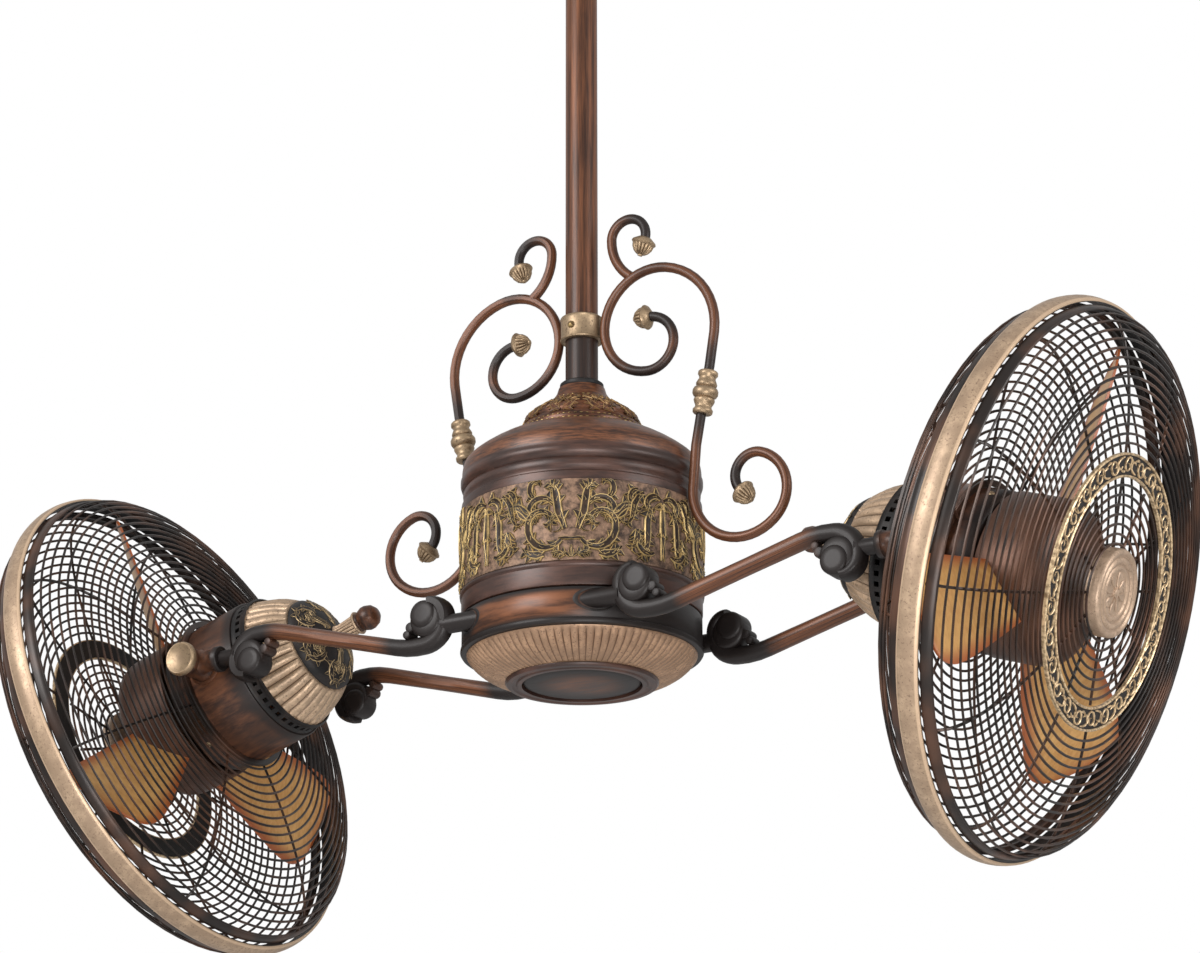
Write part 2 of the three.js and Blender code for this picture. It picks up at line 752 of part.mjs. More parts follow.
function ventRing() {
  const front = housingRear - seatGap;
  const rings = [[ventRear, ventRear + ventRail], [front - ventRail, front]];
  return alongX(cylinderLattice(ventRadius - ventWall, ventRadius, rings, ventSlots, ventBar, 1));
}

function flutedCone() {
  const front = ventRear - seatGap;
  const inner = coneWall + fluteDepth;
  return alongX(revolve([
    [coneRearRadius, coneRear], [coneRearRadius + 2, coneRear + 2, fluteDepth],
    [coneMiddleRadius, coneMiddle, fluteDepth], [coneFrontRadius, front, fluteDepth],
    [coneFrontRadius - inner, front], [coneMiddleRadius - inner, coneMiddle],
    [coneRearRadius - inner, coneRear], [coneRearRadius, coneRear],
  ], 2 * coneFlutes));
}

function rearCap() {
  const rim = coneRear - seatGap;
  const bore = boreAround(handleStem + seatGap, mediumSides);
  return alongX(revolve([
    [bore, capApex], [22, capApex + 4], [34, capApex + 11], [capRadius, rim - 4], [capRadius, rim],
    [capRadius - coneWall, rim], [bore, rim - 12], [bore, capApex],
  ], mediumSides));
}

function tiltHandle() {
  const ball = handleTip + handleBall;
  const neck = handleBall * 0.78;
  return alongX(revolve([
    [0, handleTip], [handleBall * 0.7, handleTip + 3], [handleBall, ball], [neck, ball + 6.5],
    [handleBall, ball + 8], [handleBall, ball + 10.5], [neck, ball + 11.5],
    [handleStem + 1.5, capApex - seatGap], [handleStem, capApex - seatGap], [handleStem, capApex + 12],
    [0, capApex + 12],
  ], smallSides));
}

function motorStator() {
  const outer = housingRadius - housingWall - seatGap;
  return alongX(tube(statorBore, outer, statorRear, statorFront, largeSides));
}

/** The motor's shaft with the core that turns inside the stator. */
function motorShaft() {
  const core = statorBore * Math.cos(Math.PI / largeSides) - turningGap;
  return alongX(revolve([
    [0, shaftRear], [motorShaftRadius, shaftRear], [motorShaftRadius, statorRear + 2],
    [core, statorRear + 2], [core, statorFront - 2], [motorShaftRadius, statorFront - 2],
    [motorShaftRadius, shaftTip], [0, shaftTip],
  ], smallSides));
}

// ---- Blades ----

function bladeHub() {
  const inner = hubCupRadius - hubCupWall;
  const bore = boreAround(motorShaftRadius + seatGap, mediumSides);
  const face = hubCupFront - hubCupWall;
  const foot = hubCupRear + 12;
  return alongX(revolve([
    [inner, hubCupRear], [hubCupRadius, hubCupRear], [hubCupRadius, hubCupFront - 14],
    [hubCupRadius - 14, hubCupFront], [0, hubCupFront], [0, shaftTip + seatGap],
    [bore, shaftTip + seatGap], [bore, foot], [bore + 6, foot], [bore + 8, face],
    [inner - 10, face], [inner, hubCupFront - 14], [inner, hubCupRear],
  ], mediumSides));
}

/** One blade standing up from the hub: chord, pitch and camber change along its length. */
function blade() {
  const root = hubCupRadius - 4;
  const stations = 4;
  const across = 2;
  const front = [];
  for (let i = 0; i <= stations; i += 1) {
    const share = i / stations;
    const radius = root + (bladeTip - root) * Math.sin((share * Math.PI) / 2);
    const swell = Math.sin(Math.min(1, share * 1.25) * Math.PI * 0.5);
    const round = Math.sqrt(Math.max(0.06, 1 - Math.max(0, (share - 0.42) / 0.58) ** 3));
    const chord = (bladeRootChord + (bladeWidestChord - bladeRootChord) * swell) * round;
    const pitch = radians(bladeRootPitch + (bladeTipPitch - bladeRootPitch) * share);
    for (let k = 0; k <= across; k += 1) {
      const chordShare = k / across - 0.5;
      const camber = 7 * (0.25 - chordShare ** 2);
      front.push([
        bladePlane - chord * chordShare * Math.sin(pitch) + camber,
        chord * chordShare * Math.cos(pitch),
        radius - 10 * chordShare ** 2,
      ]);
    }
  }
  const row = across + 1;
  const count = front.length;
  const positions = [...front, ...front.map(([x, y, z]) => [x + bladeThickness, y, z])].flat();
  const index = [];
  const quad = (a, b, c, d) => index.push(a, b, c, a, c, d);
  for (let i = 0; i < stations; i += 1) {
    for (let k = 0; k < across; k += 1) {
      const a = i * row + k;
      quad(a, a + 1, a + 1 + row, a + row);
      quad(a + count, a + row + count, a + 1 + row + count, a + 1 + count);
    }
    const [left, right] = [i * row, i * row + across];
    quad(left, left + row, left + row + count, left + count);
    quad(right, right + count, right + row + count, right + row);
  }
  for (let k = 0; k < across; k += 1) {
    const top = stations * row + k;
    quad(k, k + count, k + 1 + count, k + 1);
    quad(top, top + 1, top + 1 + count, top + count);
  }
  const geometry = new THREE.BufferGeometry();
  geometry.setAttribute("position", new THREE.Float32BufferAttribute(positions, 3));
  geometry.setIndex(index);
  const hub = alongX(rod(hubCupRadius + seatGap, hubCupRear - 30, hubCupFront + 30, 48));
  return cut(geometry, hub);
}

// ---- Guards ----

const rimRadius = hoopBore * Math.cos(Math.PI / hoopSides) - seatGap;

/** A flat-sided ring for a guard, centred at one depth. */
function guardRing(inner, outer, middle, depth, segments) {
  const faces = [middle + depth / 2, middle - depth / 2];
  const edges = [inner, outer].map((radius) => faces.map((height) => [radius, height]));
  return { edges, segments };
}

/** Where a guard's rings between its flat and its rim lie: [share of the radius, of the depth]. */
function domeRings(count, shoulder) {
  return Array.from({ length: count }, (_, i) => {
    const share = 1 - (1 - (i + 1) / (count + 1)) ** 2;
    return [share, 1 - (1 - share ** guardSwell) ** shoulder];
  });
}

function rearGuard() {
  const inner = boreAround(housingRadius + seatGap, 2 * rearBars);
  const last = rimRadius - wireWidth;
  const rim = hoopMiddle - hoopWidth / 2 - 1;
  const rings = [guardRing(inner, inner + rearFlange, rearFlat, wireWidth, 2)];
  for (const [outward, along] of domeRings(rearRings, rearShoulder)) {
    const radius = inner + (last - inner) * outward;
    const depth = rearFlat + (rim - rearFlat) * along;
    rings.push(guardRing(radius, radius + wireWidth, depth, wireWidth, 2));
  }
  rings.push(guardRing(last, rimRadius, rim, rimDepth, 3));
  return alongX(lattice({ rings, bars: rearBars, barWidth: wireWidth }));
}

/** The front guard with its broad ornament ring. */
function frontGuard() {
  const last = rimRadius - wireWidth;
  const rim = hoopMiddle + hoopWidth / 2 + 1;
  const rings = [
    guardRing(medallionSeat, medallionRadius - 1, frontFlat, wireWidth, 1),
    guardRing(ornamentInner, ornamentOuter, frontFlat, wireWidth, 2),
  ];
  for (const [outward, along] of domeRings(frontRings, frontShoulder)) {
    const radius = ornamentOuter + (last - ornamentOuter) * outward;
    const depth = frontFlat - (frontFlat - rim) * along;
    rings.push(guardRing(radius, radius + wireWidth, depth, wireWidth, 1));
  }
  rings.push(guardRing(last, rimRadius, rim, rimDepth, 2));
  return alongX(lattice({ rings, bars: frontBars, barWidth: wireWidth }));
}

function guardHoop() {
  const [rear, front] = [hoopMiddle - hoopWidth / 2, hoopMiddle + hoopWidth / 2];
  const outer = hoopBore + hoopWall;
  return alongX(revolve([
    [hoopBore, rear], [outer, rear], [outer + hoopCrown, hoopMiddle], [outer, front],
    [hoopBore, front], [hoopBore, rear],
  ], hoopSides));
}

/** The badge, whose boss drops into the front guard's inner ring. */
function medallion() {
  const back = frontFlat + wireWidth / 2 + seatGap;
  const front = back + medallionThickness;
  const foot = frontFlat - wireWidth;
  const boss = medallionSeat * Math.cos(Math.PI / frontBars) - seatGap;
  return alongX(revolve([
    [0, foot], [boss, foot], [boss, back], [medallionRadius, back],
    [medallionRadius, front - 1.5], [medallionRadius - 2, front], [0, front],
  ], mediumSides));
}

/** The knob on the outer end of a knuckle, its plunger against the end of the trunnion. */
function pullKnob() {
  const rear = armSpacing + knuckleLength / 2 + seatGap;
  const front = rear + knobThickness;
  const tip = bossFace + trunnionShort + seatGap;
  return alongY(revolve([
    [0, tip], [plungerRadius, tip], [plungerRadius, rear], [knobRadius, rear],
    [knobRadius, front - 1.5], [knobRadius - 1.5, front], [0, front],
  ], smallSides));
}

// ---- Scroll ornament: upper volute, drop through the ferrule, lower volute ----

// The curves are drawn from the place where the scroll touches the clamp.
const scrollWidth = 96.7; // from there to the ferrule
const ferruleDrop = 76;
const scrollArcs = [
  [23.3, -181.8], [42.3, -88.1], [46.3, -102.5], [59, -83.4], [552, -6],
  [376, 11.5], [43.5, 131.9], [33.3, 120.2], [17.5, 154.2],
];
const scrollStart = [45.7, -0.5];
const scrollHeading = -1.9;
const topCurlArcs = [[16.1, 198.9], [42.5, 56.3]];
const topCurlStart = [42.2, 68.1];
const topCurlHeading = 70.1;

/** A round-shouldered knob at the end of a curl, its axis along the curl's heading. */
function finial({ x, z, heading }) {
  const knob = revolve([
    [0, -2], [scrollTube + 1.5, -2], [finialRadius, 2], [finialRadius * 0.94, 5], [0, finialLength],
  ], 7);
  return knob.rotateY(Math.PI / 2 - heading).translate(x, 0, z);
}

function scroll() {
  const round = () => [2 * scrollTube, 2 * scrollTube];
  const main = arcChain(scrollStart, scrollHeading, scrollArcs, scrollStep);
  const curl = arcChain(topCurlStart, topCurlHeading, topCurlArcs, scrollStep);
  const backwards = (station) => ({ ...station, heading: station.heading + Math.PI });
  const ferrule = revolve([
    [0, -ferruleLength / 2], [6.6, -ferruleLength / 2], [6, -6], [ferruleRadius, 0],
    [6, 6], [6.6, ferruleLength / 2], [0, ferruleLength / 2],
  ], 7).rotateY(radians(10)).translate(scrollWidth, 0, -ferruleDrop);
  const spread = (ferruleReach - clampRadius) / scrollWidth;
  return join(
    sweep(main, scrollSides, round),
    sweep(curl, scrollSides, round),
    finial(backwards(main[0])),
    finial(main.at(-1)),
    finial(backwards(curl[0])),
    ferrule,
  ).scale(spread, 1, spread).translate(clampRadius, 0, clampHeight);
}

/** The ring that holds both scrolls to the rod, with its set screw. */
function scrollClamp() {
  const low = clampHeight - clampDepth / 2;
  const ring = tube(rodRadius + seatGap, clampRadius, low, low + clampDepth, mediumSides);
  const screw = alongY(rod(3, -clampRadius - 2, -clampRadius + 2, 6));
  return join(ring, screw.translate(0, 0, clampHeight));
}

// ---- Assembly ----

const fan = new THREE.Group();

add(fan, "hanger_bracket", hangerBracket(), "steel");
add(fan, "canopy", canopy(), "copper");
add(fan, "hanger_ball", hangerBall(), "black");
add(fan, "downrod", downrod(), "copper");

const hub = new THREE.Group();
hub.position.z = -ceilingToJoint;
fan.add(hub);
add(hub, "rod_collar", rodCollar(), "black");
add(hub, "dome_cover", domeCover(), "copper");
add(hub, "upper_housing", upperHousing(), "bronze");
add(hub, "ornament_band", ornamentBand(), "gilt");
add(hub, "lower_ring", lowerRing(), "bronze");
add(hub, "hub_shaft", hubShaft(), "steel");
add(hub, "hub_bearing", hubBearing(), "steel");
add(hub, "scroll_clamp", scrollClamp(), "pewter");
add(hub, "rotor_frame", rotorFrame(), "steel");
add(hub, "rotor_band", rotorBand(), "copper");
add(hub, "slip_ring", slipRing(), "black");
add(hub, "fluted_bowl", flutedBowl(), "pewter");
add(hub, "trim_ring", trimRing(), "bronze");
add(hub, "bottom_disc", bottomDisc(), "copper");

/** One side of the fan, built pointing along +X; knobSide names the arm at its pull knob. */
function buildSide(side, knobSide, plainSide) {
  const half = new THREE.Group();
  add(half, `scroll_${side}`, scroll(), "copper");
  for (const [across, place] of [[armSpacing, knobSide], [-armSpacing, plainSide]]) {
    add(half, `arm_${side}_${place}`, arm().translate(0, across, 0), "bronze");
    const tee = knuckle().translate(tiltAxisReach, across, tiltAxisHeight);
    add(half, `knuckle_${side}_${place}`, tee, "copper");
  }
  add(half, `pull_knob_${side}`, pullKnob().translate(tiltAxisReach, 0, tiltAxisHeight), "pewter");
  const head = new THREE.Group();
  head.position.set(tiltAxisReach, 0, tiltAxisHeight);
  head.rotation.y = radians(tiltDown);
  add(head, `motor_housing_${side}`, motorHousing(), "copper");
  add(head, `vent_ring_${side}`, ventRing(), "black");
  add(head, `fluted_cone_${side}`, flutedCone(), "pewter");
  add(head, `rear_cap_${side}`, rearCap(), "black");
  add(head, `tilt_handle_${side}`, tiltHandle(), "copper");
  add(head, `motor_stator_${side}`, motorStator(), "winding");
  add(head, `rear_guard_${side}`, rearGuard(), "black");
  add(head, `front_guard_${side}`, frontGuard(), "black");
  add(head, `guard_hoop_${side}`, guardHoop(), "pewter");
  add(head, `medallion_${side}`, medallion(), "pewter");
  add(head, `motor_shaft_${side}`, motorShaft(), "steel");
  add(head, `blade_hub_${side}`, bladeHub(), "bronze");
  for (let i = 0; i < bladeCount; i += 1) {
    const turned = blade().rotateX((2 * Math.PI * i) / bladeCount + radians(bladeStart));
    add(head, `blade_${side}_${i + 1}`, turned, "amber");
  }
  half.add(head);
  return half;
}

hub.add(buildSide("right", "back", "front"));
const leftSide = buildSide("left", "front", "back");
leftSide.rotation.z = Math.PI;
hub.add(leftSide);

export default fan;
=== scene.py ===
import math

import bmesh
import bpy
from mathutils import Matrix, Vector


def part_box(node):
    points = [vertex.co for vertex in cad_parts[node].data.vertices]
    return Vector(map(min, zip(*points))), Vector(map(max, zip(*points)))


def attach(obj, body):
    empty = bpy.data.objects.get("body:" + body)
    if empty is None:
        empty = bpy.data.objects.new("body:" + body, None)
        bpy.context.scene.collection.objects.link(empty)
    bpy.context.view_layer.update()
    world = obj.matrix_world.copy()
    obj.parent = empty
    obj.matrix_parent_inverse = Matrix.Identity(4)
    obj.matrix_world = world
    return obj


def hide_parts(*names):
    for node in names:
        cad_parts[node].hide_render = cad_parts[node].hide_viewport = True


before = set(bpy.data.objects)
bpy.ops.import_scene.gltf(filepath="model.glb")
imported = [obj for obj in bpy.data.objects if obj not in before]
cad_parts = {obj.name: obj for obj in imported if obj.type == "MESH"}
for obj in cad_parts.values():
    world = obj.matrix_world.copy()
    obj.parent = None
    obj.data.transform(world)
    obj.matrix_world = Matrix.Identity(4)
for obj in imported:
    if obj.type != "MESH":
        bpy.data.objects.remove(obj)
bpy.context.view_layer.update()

# ---- Camera ----
# The photograph is taken from below the fan and a little to its left, with a long lens.
# It looks up at about nineteen degrees, so nothing but the white backdrop lies behind.
view_turn = 0.527
view_rise = 0.332
view_roll = -0.003
view_distance = 2.5434
view_shift = 0.014637
view_height = -1.4205
camera_data = bpy.data.cameras.new("camera")
camera_data.lens = 99.675
camera_data.sensor_width = 36
camera_data.sensor_fit = "HORIZONTAL"
camera = bpy.data.objects.new("camera", camera_data)
across = Vector((math.cos(view_turn), math.sin(view_turn), 0))
level = Vector((-math.sin(view_turn), math.cos(view_turn), 0))
ahead = level * math.cos(view_rise) + Vector((0, 0, math.sin(view_rise)))
upward = across.cross(ahead)
camera_turn = Matrix((across, upward, -ahead)).transposed().to_4x4() @ Matrix.Rotation(view_roll, 4, "Z")
camera_spot = level * -view_distance + across * view_shift + Vector((0, 0, view_height))
camera.matrix_world = Matrix.Translation(camera_spot) @ camera_turn
bpy.context.scene.collection.objects.link(camera)
bpy.context.scene.camera = camera
bpy.context.scene.view_settings.view_transform = "Standard"


# ---- Studio: soft lamps, white surroundings, pale floor ----
# Large soft lamps stand left, right and below the camera, as a product studio has them.
# The surroundings are plain white for the camera and softer for what shines and as light.
class Wire:
    """One socket in a node tree; a sum written with it adds the nodes that work it out."""

    def __init__(self, tree, socket=None):
        self.tree = tree
        self.socket = socket

    def node(self, kind, settings=None, inputs=None, output=0):
        """Adds a node: its settings first, then the values or links of its sockets."""
        made = self.tree.nodes.new("ShaderNode" + kind)
        for name, value in (settings or {}).items():
            setattr(made, name, value)
        for name, value in (inputs or {}).items():
            if isinstance(value, Wire):
                self.tree.links.new(value.socket, made.inputs[name])
            else:
                made.inputs[name].default_value = value
        return Wire(self.tree, made.outputs[output])

    def sum(self, operation, first, second):
        return self.node("Math", {"operation": operation}, {0: first, 1: second})

    def __add__(self, other):
        return self.sum("ADD", self, other)

    def __sub__(self, other):
        return self.sum("SUBTRACT", self, other)

    def __mul__(self, other):
        return self.sum("MULTIPLY", self, other)

    def __pow__(self, other):
        return self.sum("POWER", self, other)

    def larger(self, other):
        return self.sum("MAXIMUM", self, other)

    def between(self, low, high, start=0.0, end=1.0):
        """Start below low, end above high, and an eased change from one to the other."""
        settings = {"interpolation_type": "SMOOTHSTEP"}
        values = {"Value": self, "From Min": low, "From Max": high, "To Min": start, "To Max": end}
        return self.node("MapRange", settings, values)

    def blend(self, first, second):
        """The first colour where this is 0, the second where it is 1."""
        colours = [c if isinstance(c, Wire) else (*c, 1) for c in (first, second)]
        return self.node("Mix", {"data_type": "RGBA"}, {0: self, 6: colours[0], 7: colours[1]}, 2)

    def parts(self):
        """The three numbers of a vector."""
        split = self.node("SeparateXYZ", {}, {0: self})
        return [Wire(self.tree, socket) for socket in split.socket.node.outputs]

    def noise(self, scale, detail=3.0, rough=0.55, stretch=(1, 1, 1)):
        """Noise from 0 to 1 on this vector; a small stretch makes streaks along that axis."""
        placed = self.node("Mapping", {}, {"Vector": self, "Scale": stretch})
        values = {"Vector": placed, "Scale": scale, "Detail": detail, "Roughness": rough}
        return self.node("TexNoise", {}, values)

    def bump(self, strength, distance=0.0002):
        """A surface normal that has this as its height."""
        return self.node("Bump", {}, {"Strength": strength, "Distance": distance, "Height": self})

    def attribute(self, name, output="Fac"):
        """What the mesh keeps at each point under a name."""
        return self.node("Attribute", {"attribute_name": name}, output=output)


mirror_strength = 0.6
ambient_strength = 0.42
world = bpy.data.worlds.new("white_surroundings")
bpy.context.scene.world = world
world.use_nodes = True
sky = Wire(world.node_tree)
rays = ("Is Camera Ray", "Is Glossy Ray", "Is Transmission Ray")
seen, glossy, clear = [sky.node("LightPath", output=name) for name in rays]
brightness = seen.larger(clear).larger(glossy * mirror_strength).larger(ambient_strength)
background = world.node_tree.nodes["Background"]
background.inputs["Color"].default_value = (1, 1, 1, 1)
world.node_tree.links.new(brightness.socket, background.inputs["Strength"])


def soft_lamp(name, offset, size, power):
    """An area lamp at an offset (across, towards the camera, up) from the hub, aimed at it."""
    hub = Vector((0, 0, -0.65))
    data = bpy.data.lights.new(name, "AREA")
    data.shape = "SQUARE"
    data.size = size
    data.energy = power
    lamp = bpy.data.objects.new(name, data)
    lamp.location = hub + across * offset[0] - level * offset[1] + Vector((0, 0, offset[2]))
    lamp.rotation_euler = (hub - lamp.location).to_track_quat("-Z", "Y").to_euler()
    bpy.context.scene.collection.objects.link(lamp)


soft_lamp("left_lamp", (-1.9, 1.6, 0.9), 1.3, 52)
soft_lamp("right_lamp", (2.0, 1.3, 0.5), 1.2, 26)
soft_lamp("low_lamp", (0.2, 1.9, -1.0), 1.0, 30)


def hue_finish(name, colour, rough):
    """A new material with a plain colour, and the wire that its other nodes start from."""
    material = bpy.data.materials.new(name)
    material.use_nodes = True
    shader = material.node_tree.nodes["Principled BSDF"]
    shader.inputs["Base Color"].default_value = (*colour, 1)
    shader.inputs["Roughness"].default_value = rough
    return material, Wire(material.node_tree)


def settle(material, **sockets):
    """Sets or links sockets of a material's main shader, named with _ for spaces."""
    shader = material.node_tree.nodes["Principled BSDF"]
    for name, value in sockets.items():
        socket = shader.inputs[name.replace("_", " ")]
        if isinstance(value, Wire):
            material.node_tree.links.new(value.socket, socket)
        else:
            socket.default_value = value


floor_height = -1.8
floor_shape = bmesh.new()
bmesh.ops.create_grid(floor_shape, x_segments=2, y_segments=2, size=30)
floor_mesh = bpy.data.meshes.new("floor")
floor_shape.transform(Matrix.Translation((0, 0, floor_height)))
floor_shape.to_mesh(floor_mesh)
floor_shape.free()
floor = bpy.data.objects.new("floor", floor_mesh)
bpy.context.scene.collection.objects.link(floor)
floor_mesh.materials.append(hue_finish("pale_floor", (0.86, 0.86, 0.86), 0.9)[0])


# ---- Hanger bracket ----
# A pressed steel plate that screws to the outlet box, with the cup that the ball sits in.
# It is bright zinc with a fine spangle, and the canopy hides nearly all of it.
def dress(material, *nodes):
    """Gives CAD nodes that stay in view their finish."""
    for node in nodes:
        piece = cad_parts[node]
        piece.data.materials.clear()
        piece.data.materials.append(material)


def machined_steel(name, colour):
    """A bare metal with a fine spangle and scratches."""
    material, start = hue_finish(name, colour, 0.4)
    place = start.node("TexCoord", output="Object")
    spangle = place.noise(90, 4)
    bump = place.noise(400, 2, stretch=(1, 1, 0.1)).bump(0.25, 0.0003)
    tone = spangle.between(0.3, 0.7).blend([c * 0.75 for c in colour], colour)
    settle(material, Base_Color=tone, Roughness=spangle * 0.25 + 0.3, Metallic=0.85, Normal=bump)
    return material


dress(machined_steel("zinc_plate", (0.45, 0.45, 0.44)), "hanger_bracket")


# ---- Canopy, hanger ball and downrod ----
# The canopy is spun steel and the pipe is drawn; both are brushed with a copper brown glaze
# in long strokes, as wood grain is faked. The ball is moulded, pinned to the pipe's top end.
thousandth = Matrix.Scale(0.001, 4)
hub_place = Matrix.Translation((0, 0, -0.665)) @ thousandth
# turns that lay a lathe's Z axis along another one
z_to_x = Matrix.Rotation(math.pi / 2, 4, "Y")
z_to_y = Matrix.Rotation(-math.pi / 2, 4, "X")
z_to_minus_y = Matrix.Rotation(math.pi / 2, 4, "X")


def turned(shape, profile, sides, place=Matrix.Identity(4)):
    """Adds a lathe-turned solid: (radius, height) points in millimetres, spun about Z."""
    points = [shape.verts.new((radius, 0, height)) for radius, height in profile]
    pairs = list(zip(points, points[1:]))
    if profile[0][0] > 0 or profile[-1][0] > 0:
        pairs.append((points[-1], points[0]))
    edges = [shape.edges.new(pair) for pair in pairs]
    before = set(shape.verts) - set(points)
    bmesh.ops.spin(shape, geom=points + edges, axis=(0, 0, 1), cent=(0, 0, 0), angle=math.tau,
                   steps=sides, use_merge=True)
    fresh = [v for v in shape.verts if v not in before]
    bmesh.ops.remove_doubles(shape, verts=fresh, dist=0.002)
    fresh = [v for v in shape.verts if v not in before]
    bmesh.ops.transform(shape, matrix=place, verts=fresh)
    return fresh


def both_ways(half, middle=0):
    """A profile given from its end to its middle height, with its mirror image after it."""
    mirror = [(radius, middle + height) for radius, height in reversed(half) if height]
    return [(radius, middle - height) for radius, height in half] + mirror


def made(shape, name, place, body, slot, material, *nodes):
    """Turns a shape in millimetres into a finished piece that rides on a body."""
    bmesh.ops.recalc_face_normals(shape, faces=shape.faces)
    shape.transform(place)
    mesh = bpy.data.meshes.new(name)
    shape.to_mesh(mesh)
    shape.free()
    mesh.polygons.foreach_set("use_smooth", [True] * len(mesh.polygons))
    mesh.set_sharp_from_angle(angle=math.radians(42))
    mesh.materials.append(material)
    piece = bpy.data.objects.new(name, mesh)
    bpy.context.scene.collection.objects.link(piece)
    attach(piece, body)
    if nodes:
        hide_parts(*nodes)


def lathe_piece(profile, sides, *finish):
    """Turns one profile and finishes it with what made() takes."""
    shape = bmesh.new()
    turned(shape, profile, sides)
    made(shape, *finish)


copper_bright = (0.19, 0.07, 0.03)
copper_deep = (0.034, 0.0145, 0.009)
nearly_black = (0.014, 0.01, 0.009)


def glaze(name, make, location=(0, 0, 0), turn=(0, 0, 0)):
    """A material whose sockets make(coordinates) gives, in a frame at a location and turn."""
    material, start = hue_finish(name, copper_bright, 0.4)
    place = start.node("TexCoord", output="Object")
    values = {"Vector": place, "Location": location, "Rotation": turn}
    settle(material, **make(start.node("Mapping", {"vector_type": "TEXTURE"}, values)))
    return material


def copper_sockets(where, shade, stretch, scale=260):
    """Sockets of copper brown glaze with brushed grain; shade is where it is nearly black."""
    grain = where.noise(scale, 5, 0.65, stretch)
    broad = where.noise(scale * 0.2, 3, 0.5, stretch)
    tone = (grain * 0.75 + broad * 0.45).between(0.44, 0.76).blend(copper_deep, copper_bright)
    return dict(Base_Color=shade.blend(tone, nearly_black), Roughness=grain * 0.22 + 0.27 + shade * 0.12,
                Metallic=0.25, Normal=grain.bump(0.3), Coat_Weight=0.1, Coat_Roughness=0.2,
                Specular_IOR_Level=0.35)


def rod_sockets(where):
    height = where.parts()[2]
    shade = height.between(-0.428, -0.4, 0.8, 0.0) * where.noise(30).between(0.1, 0.5, 0.8, 1)
    return copper_sockets(where, shade, (1, 1, 0.04))


def canopy_sockets(where):
    shade = where.parts()[2].between(-0.02, -0.004) * 0.7
    return copper_sockets(where, shade, (0.3, 0.3, 1))


rod_glaze = glaze("rod_glaze", rod_sockets)
canopy_glaze = glaze("canopy_glaze", canopy_sockets)

canopy_bell = bmesh.new()
turned(canopy_bell, [
    (24.1, -78), (34, -77.4), (42, -74), (44, -73.2), (45, -71), (46.5, -70), (52, -64), (58, -52),
    (62.5, -38), (64.6, -26), (65.2, -21), (67.2, -19.5), (67.8, -16), (67.6, -2), (66.3, -2),
    (66.3, -15), (63.5, -21), (61, -38), (52.4, -60), (40, -74), (24.1, -76.5),
], 96)
for angle in (0, math.pi):
    screw = Matrix.Rotation(angle, 4, "Z") @ Matrix.Translation((66.6, 0, -8)) @ z_to_x
    turned(canopy_bell, [(0, 1.4), (2, 1.3), (3, 0.5), (3, -0.5), (0, -0.5)], 16, screw)
made(canopy_bell, "canopy_bell", thousandth, "ceiling_mount", "copper", canopy_glaze, "canopy")


def moulded_sockets(where):
    mottle = where.noise(180, 4)
    tone = mottle.between(0.3, 0.8).blend((0.017, 0.015, 0.015), (0.05, 0.045, 0.043))
    return dict(Base_Color=tone, Roughness=mottle * 0.2 + 0.42, Metallic=0.1, Normal=mottle.bump(0.2))


moulded_black = glaze("moulded_black", moulded_sockets)
ball_radius = 27
ball_heights = [2.5 * i - 20 for i in range(17)]
ball_arc = [(math.sqrt(ball_radius ** 2 - height ** 2), height) for height in ball_heights]
ball_place = Matrix.Translation((0, 0, -0.037)) @ thousandth
lathe_piece([(13.6, -20), *ball_arc, (13.6, 20)], 48,
            "ball", ball_place, "hung_hub", "black", moulded_black, "hanger_ball")
lathe_piece([(10.5, -479), (13.35, -479), (13.35, -17), (10.5, -17)], 48,
            "rod_pipe", thousandth, "hung_hub", "copper", rod_glaze, "downrod")


# ---- Rod collar and dome cover ----
# The collar is a turned black steel socket. The dome under it is cast copper brown with beading,
# a wreath of leaves and stems, and gold rubbed on what stands up.
def black_sockets(where):
    fine = where.noise(700, 2)
    tone = where.noise(70, 5).between(0.35, 0.75).blend((0.009, 0.008, 0.008), (0.03, 0.022, 0.019))
    return dict(Base_Color=tone, Roughness=fine * 0.15 + 0.42, Metallic=0.15, Normal=fine.bump(0.25),
                Specular_IOR_Level=0.35)


satin_black = glaze("satin_black", black_sockets)
lathe_piece([
    (10.3, 160), (15.8, 160), (15.8, 195), (17.4, 196.4), (18, 198), (17.8, 200), (16.6, 201),
    (13.65, 201), (13.65, 185.7), (10.3, 185.7),
], 64, "collar", hub_place, "hung_hub", "black", satin_black, "rod_collar")


def arc_chain(start, heading, arcs, step):
    """Stations (x, z, heading) along a chain of tangent arcs, each (radius, degrees)."""
    x, z = start
    angle = math.radians(heading)
    stations = [(x, z, angle)]
    for radius, turn in arcs:
        count = max(2, math.ceil(abs(turn) / step))
        bend = math.copysign(radius, turn)
        centre = (x - math.sin(angle) * bend, z + math.cos(angle) * bend)
        for i in range(1, count + 1):
            now = angle + math.radians(turn) * i / count
            stations.append((centre[0] + math.sin(now) * bend, centre[1] - math.cos(now) * bend, now))
        x, z, angle = stations[-1]
    return stations


def extruded(shape, edges):
    """Extrudes a loop of edges, and gives the verts and edges of the new loop."""
    fresh = bmesh.ops.extrude_edge_only(shape, edges=edges)["geom"]
    ring = [g for g in fresh if isinstance(g, bmesh.types.BMVert)]
    members = set(ring)
    return ring, [g for g in fresh if isinstance(g, bmesh.types.BMEdge) and members.issuperset(g.verts)]


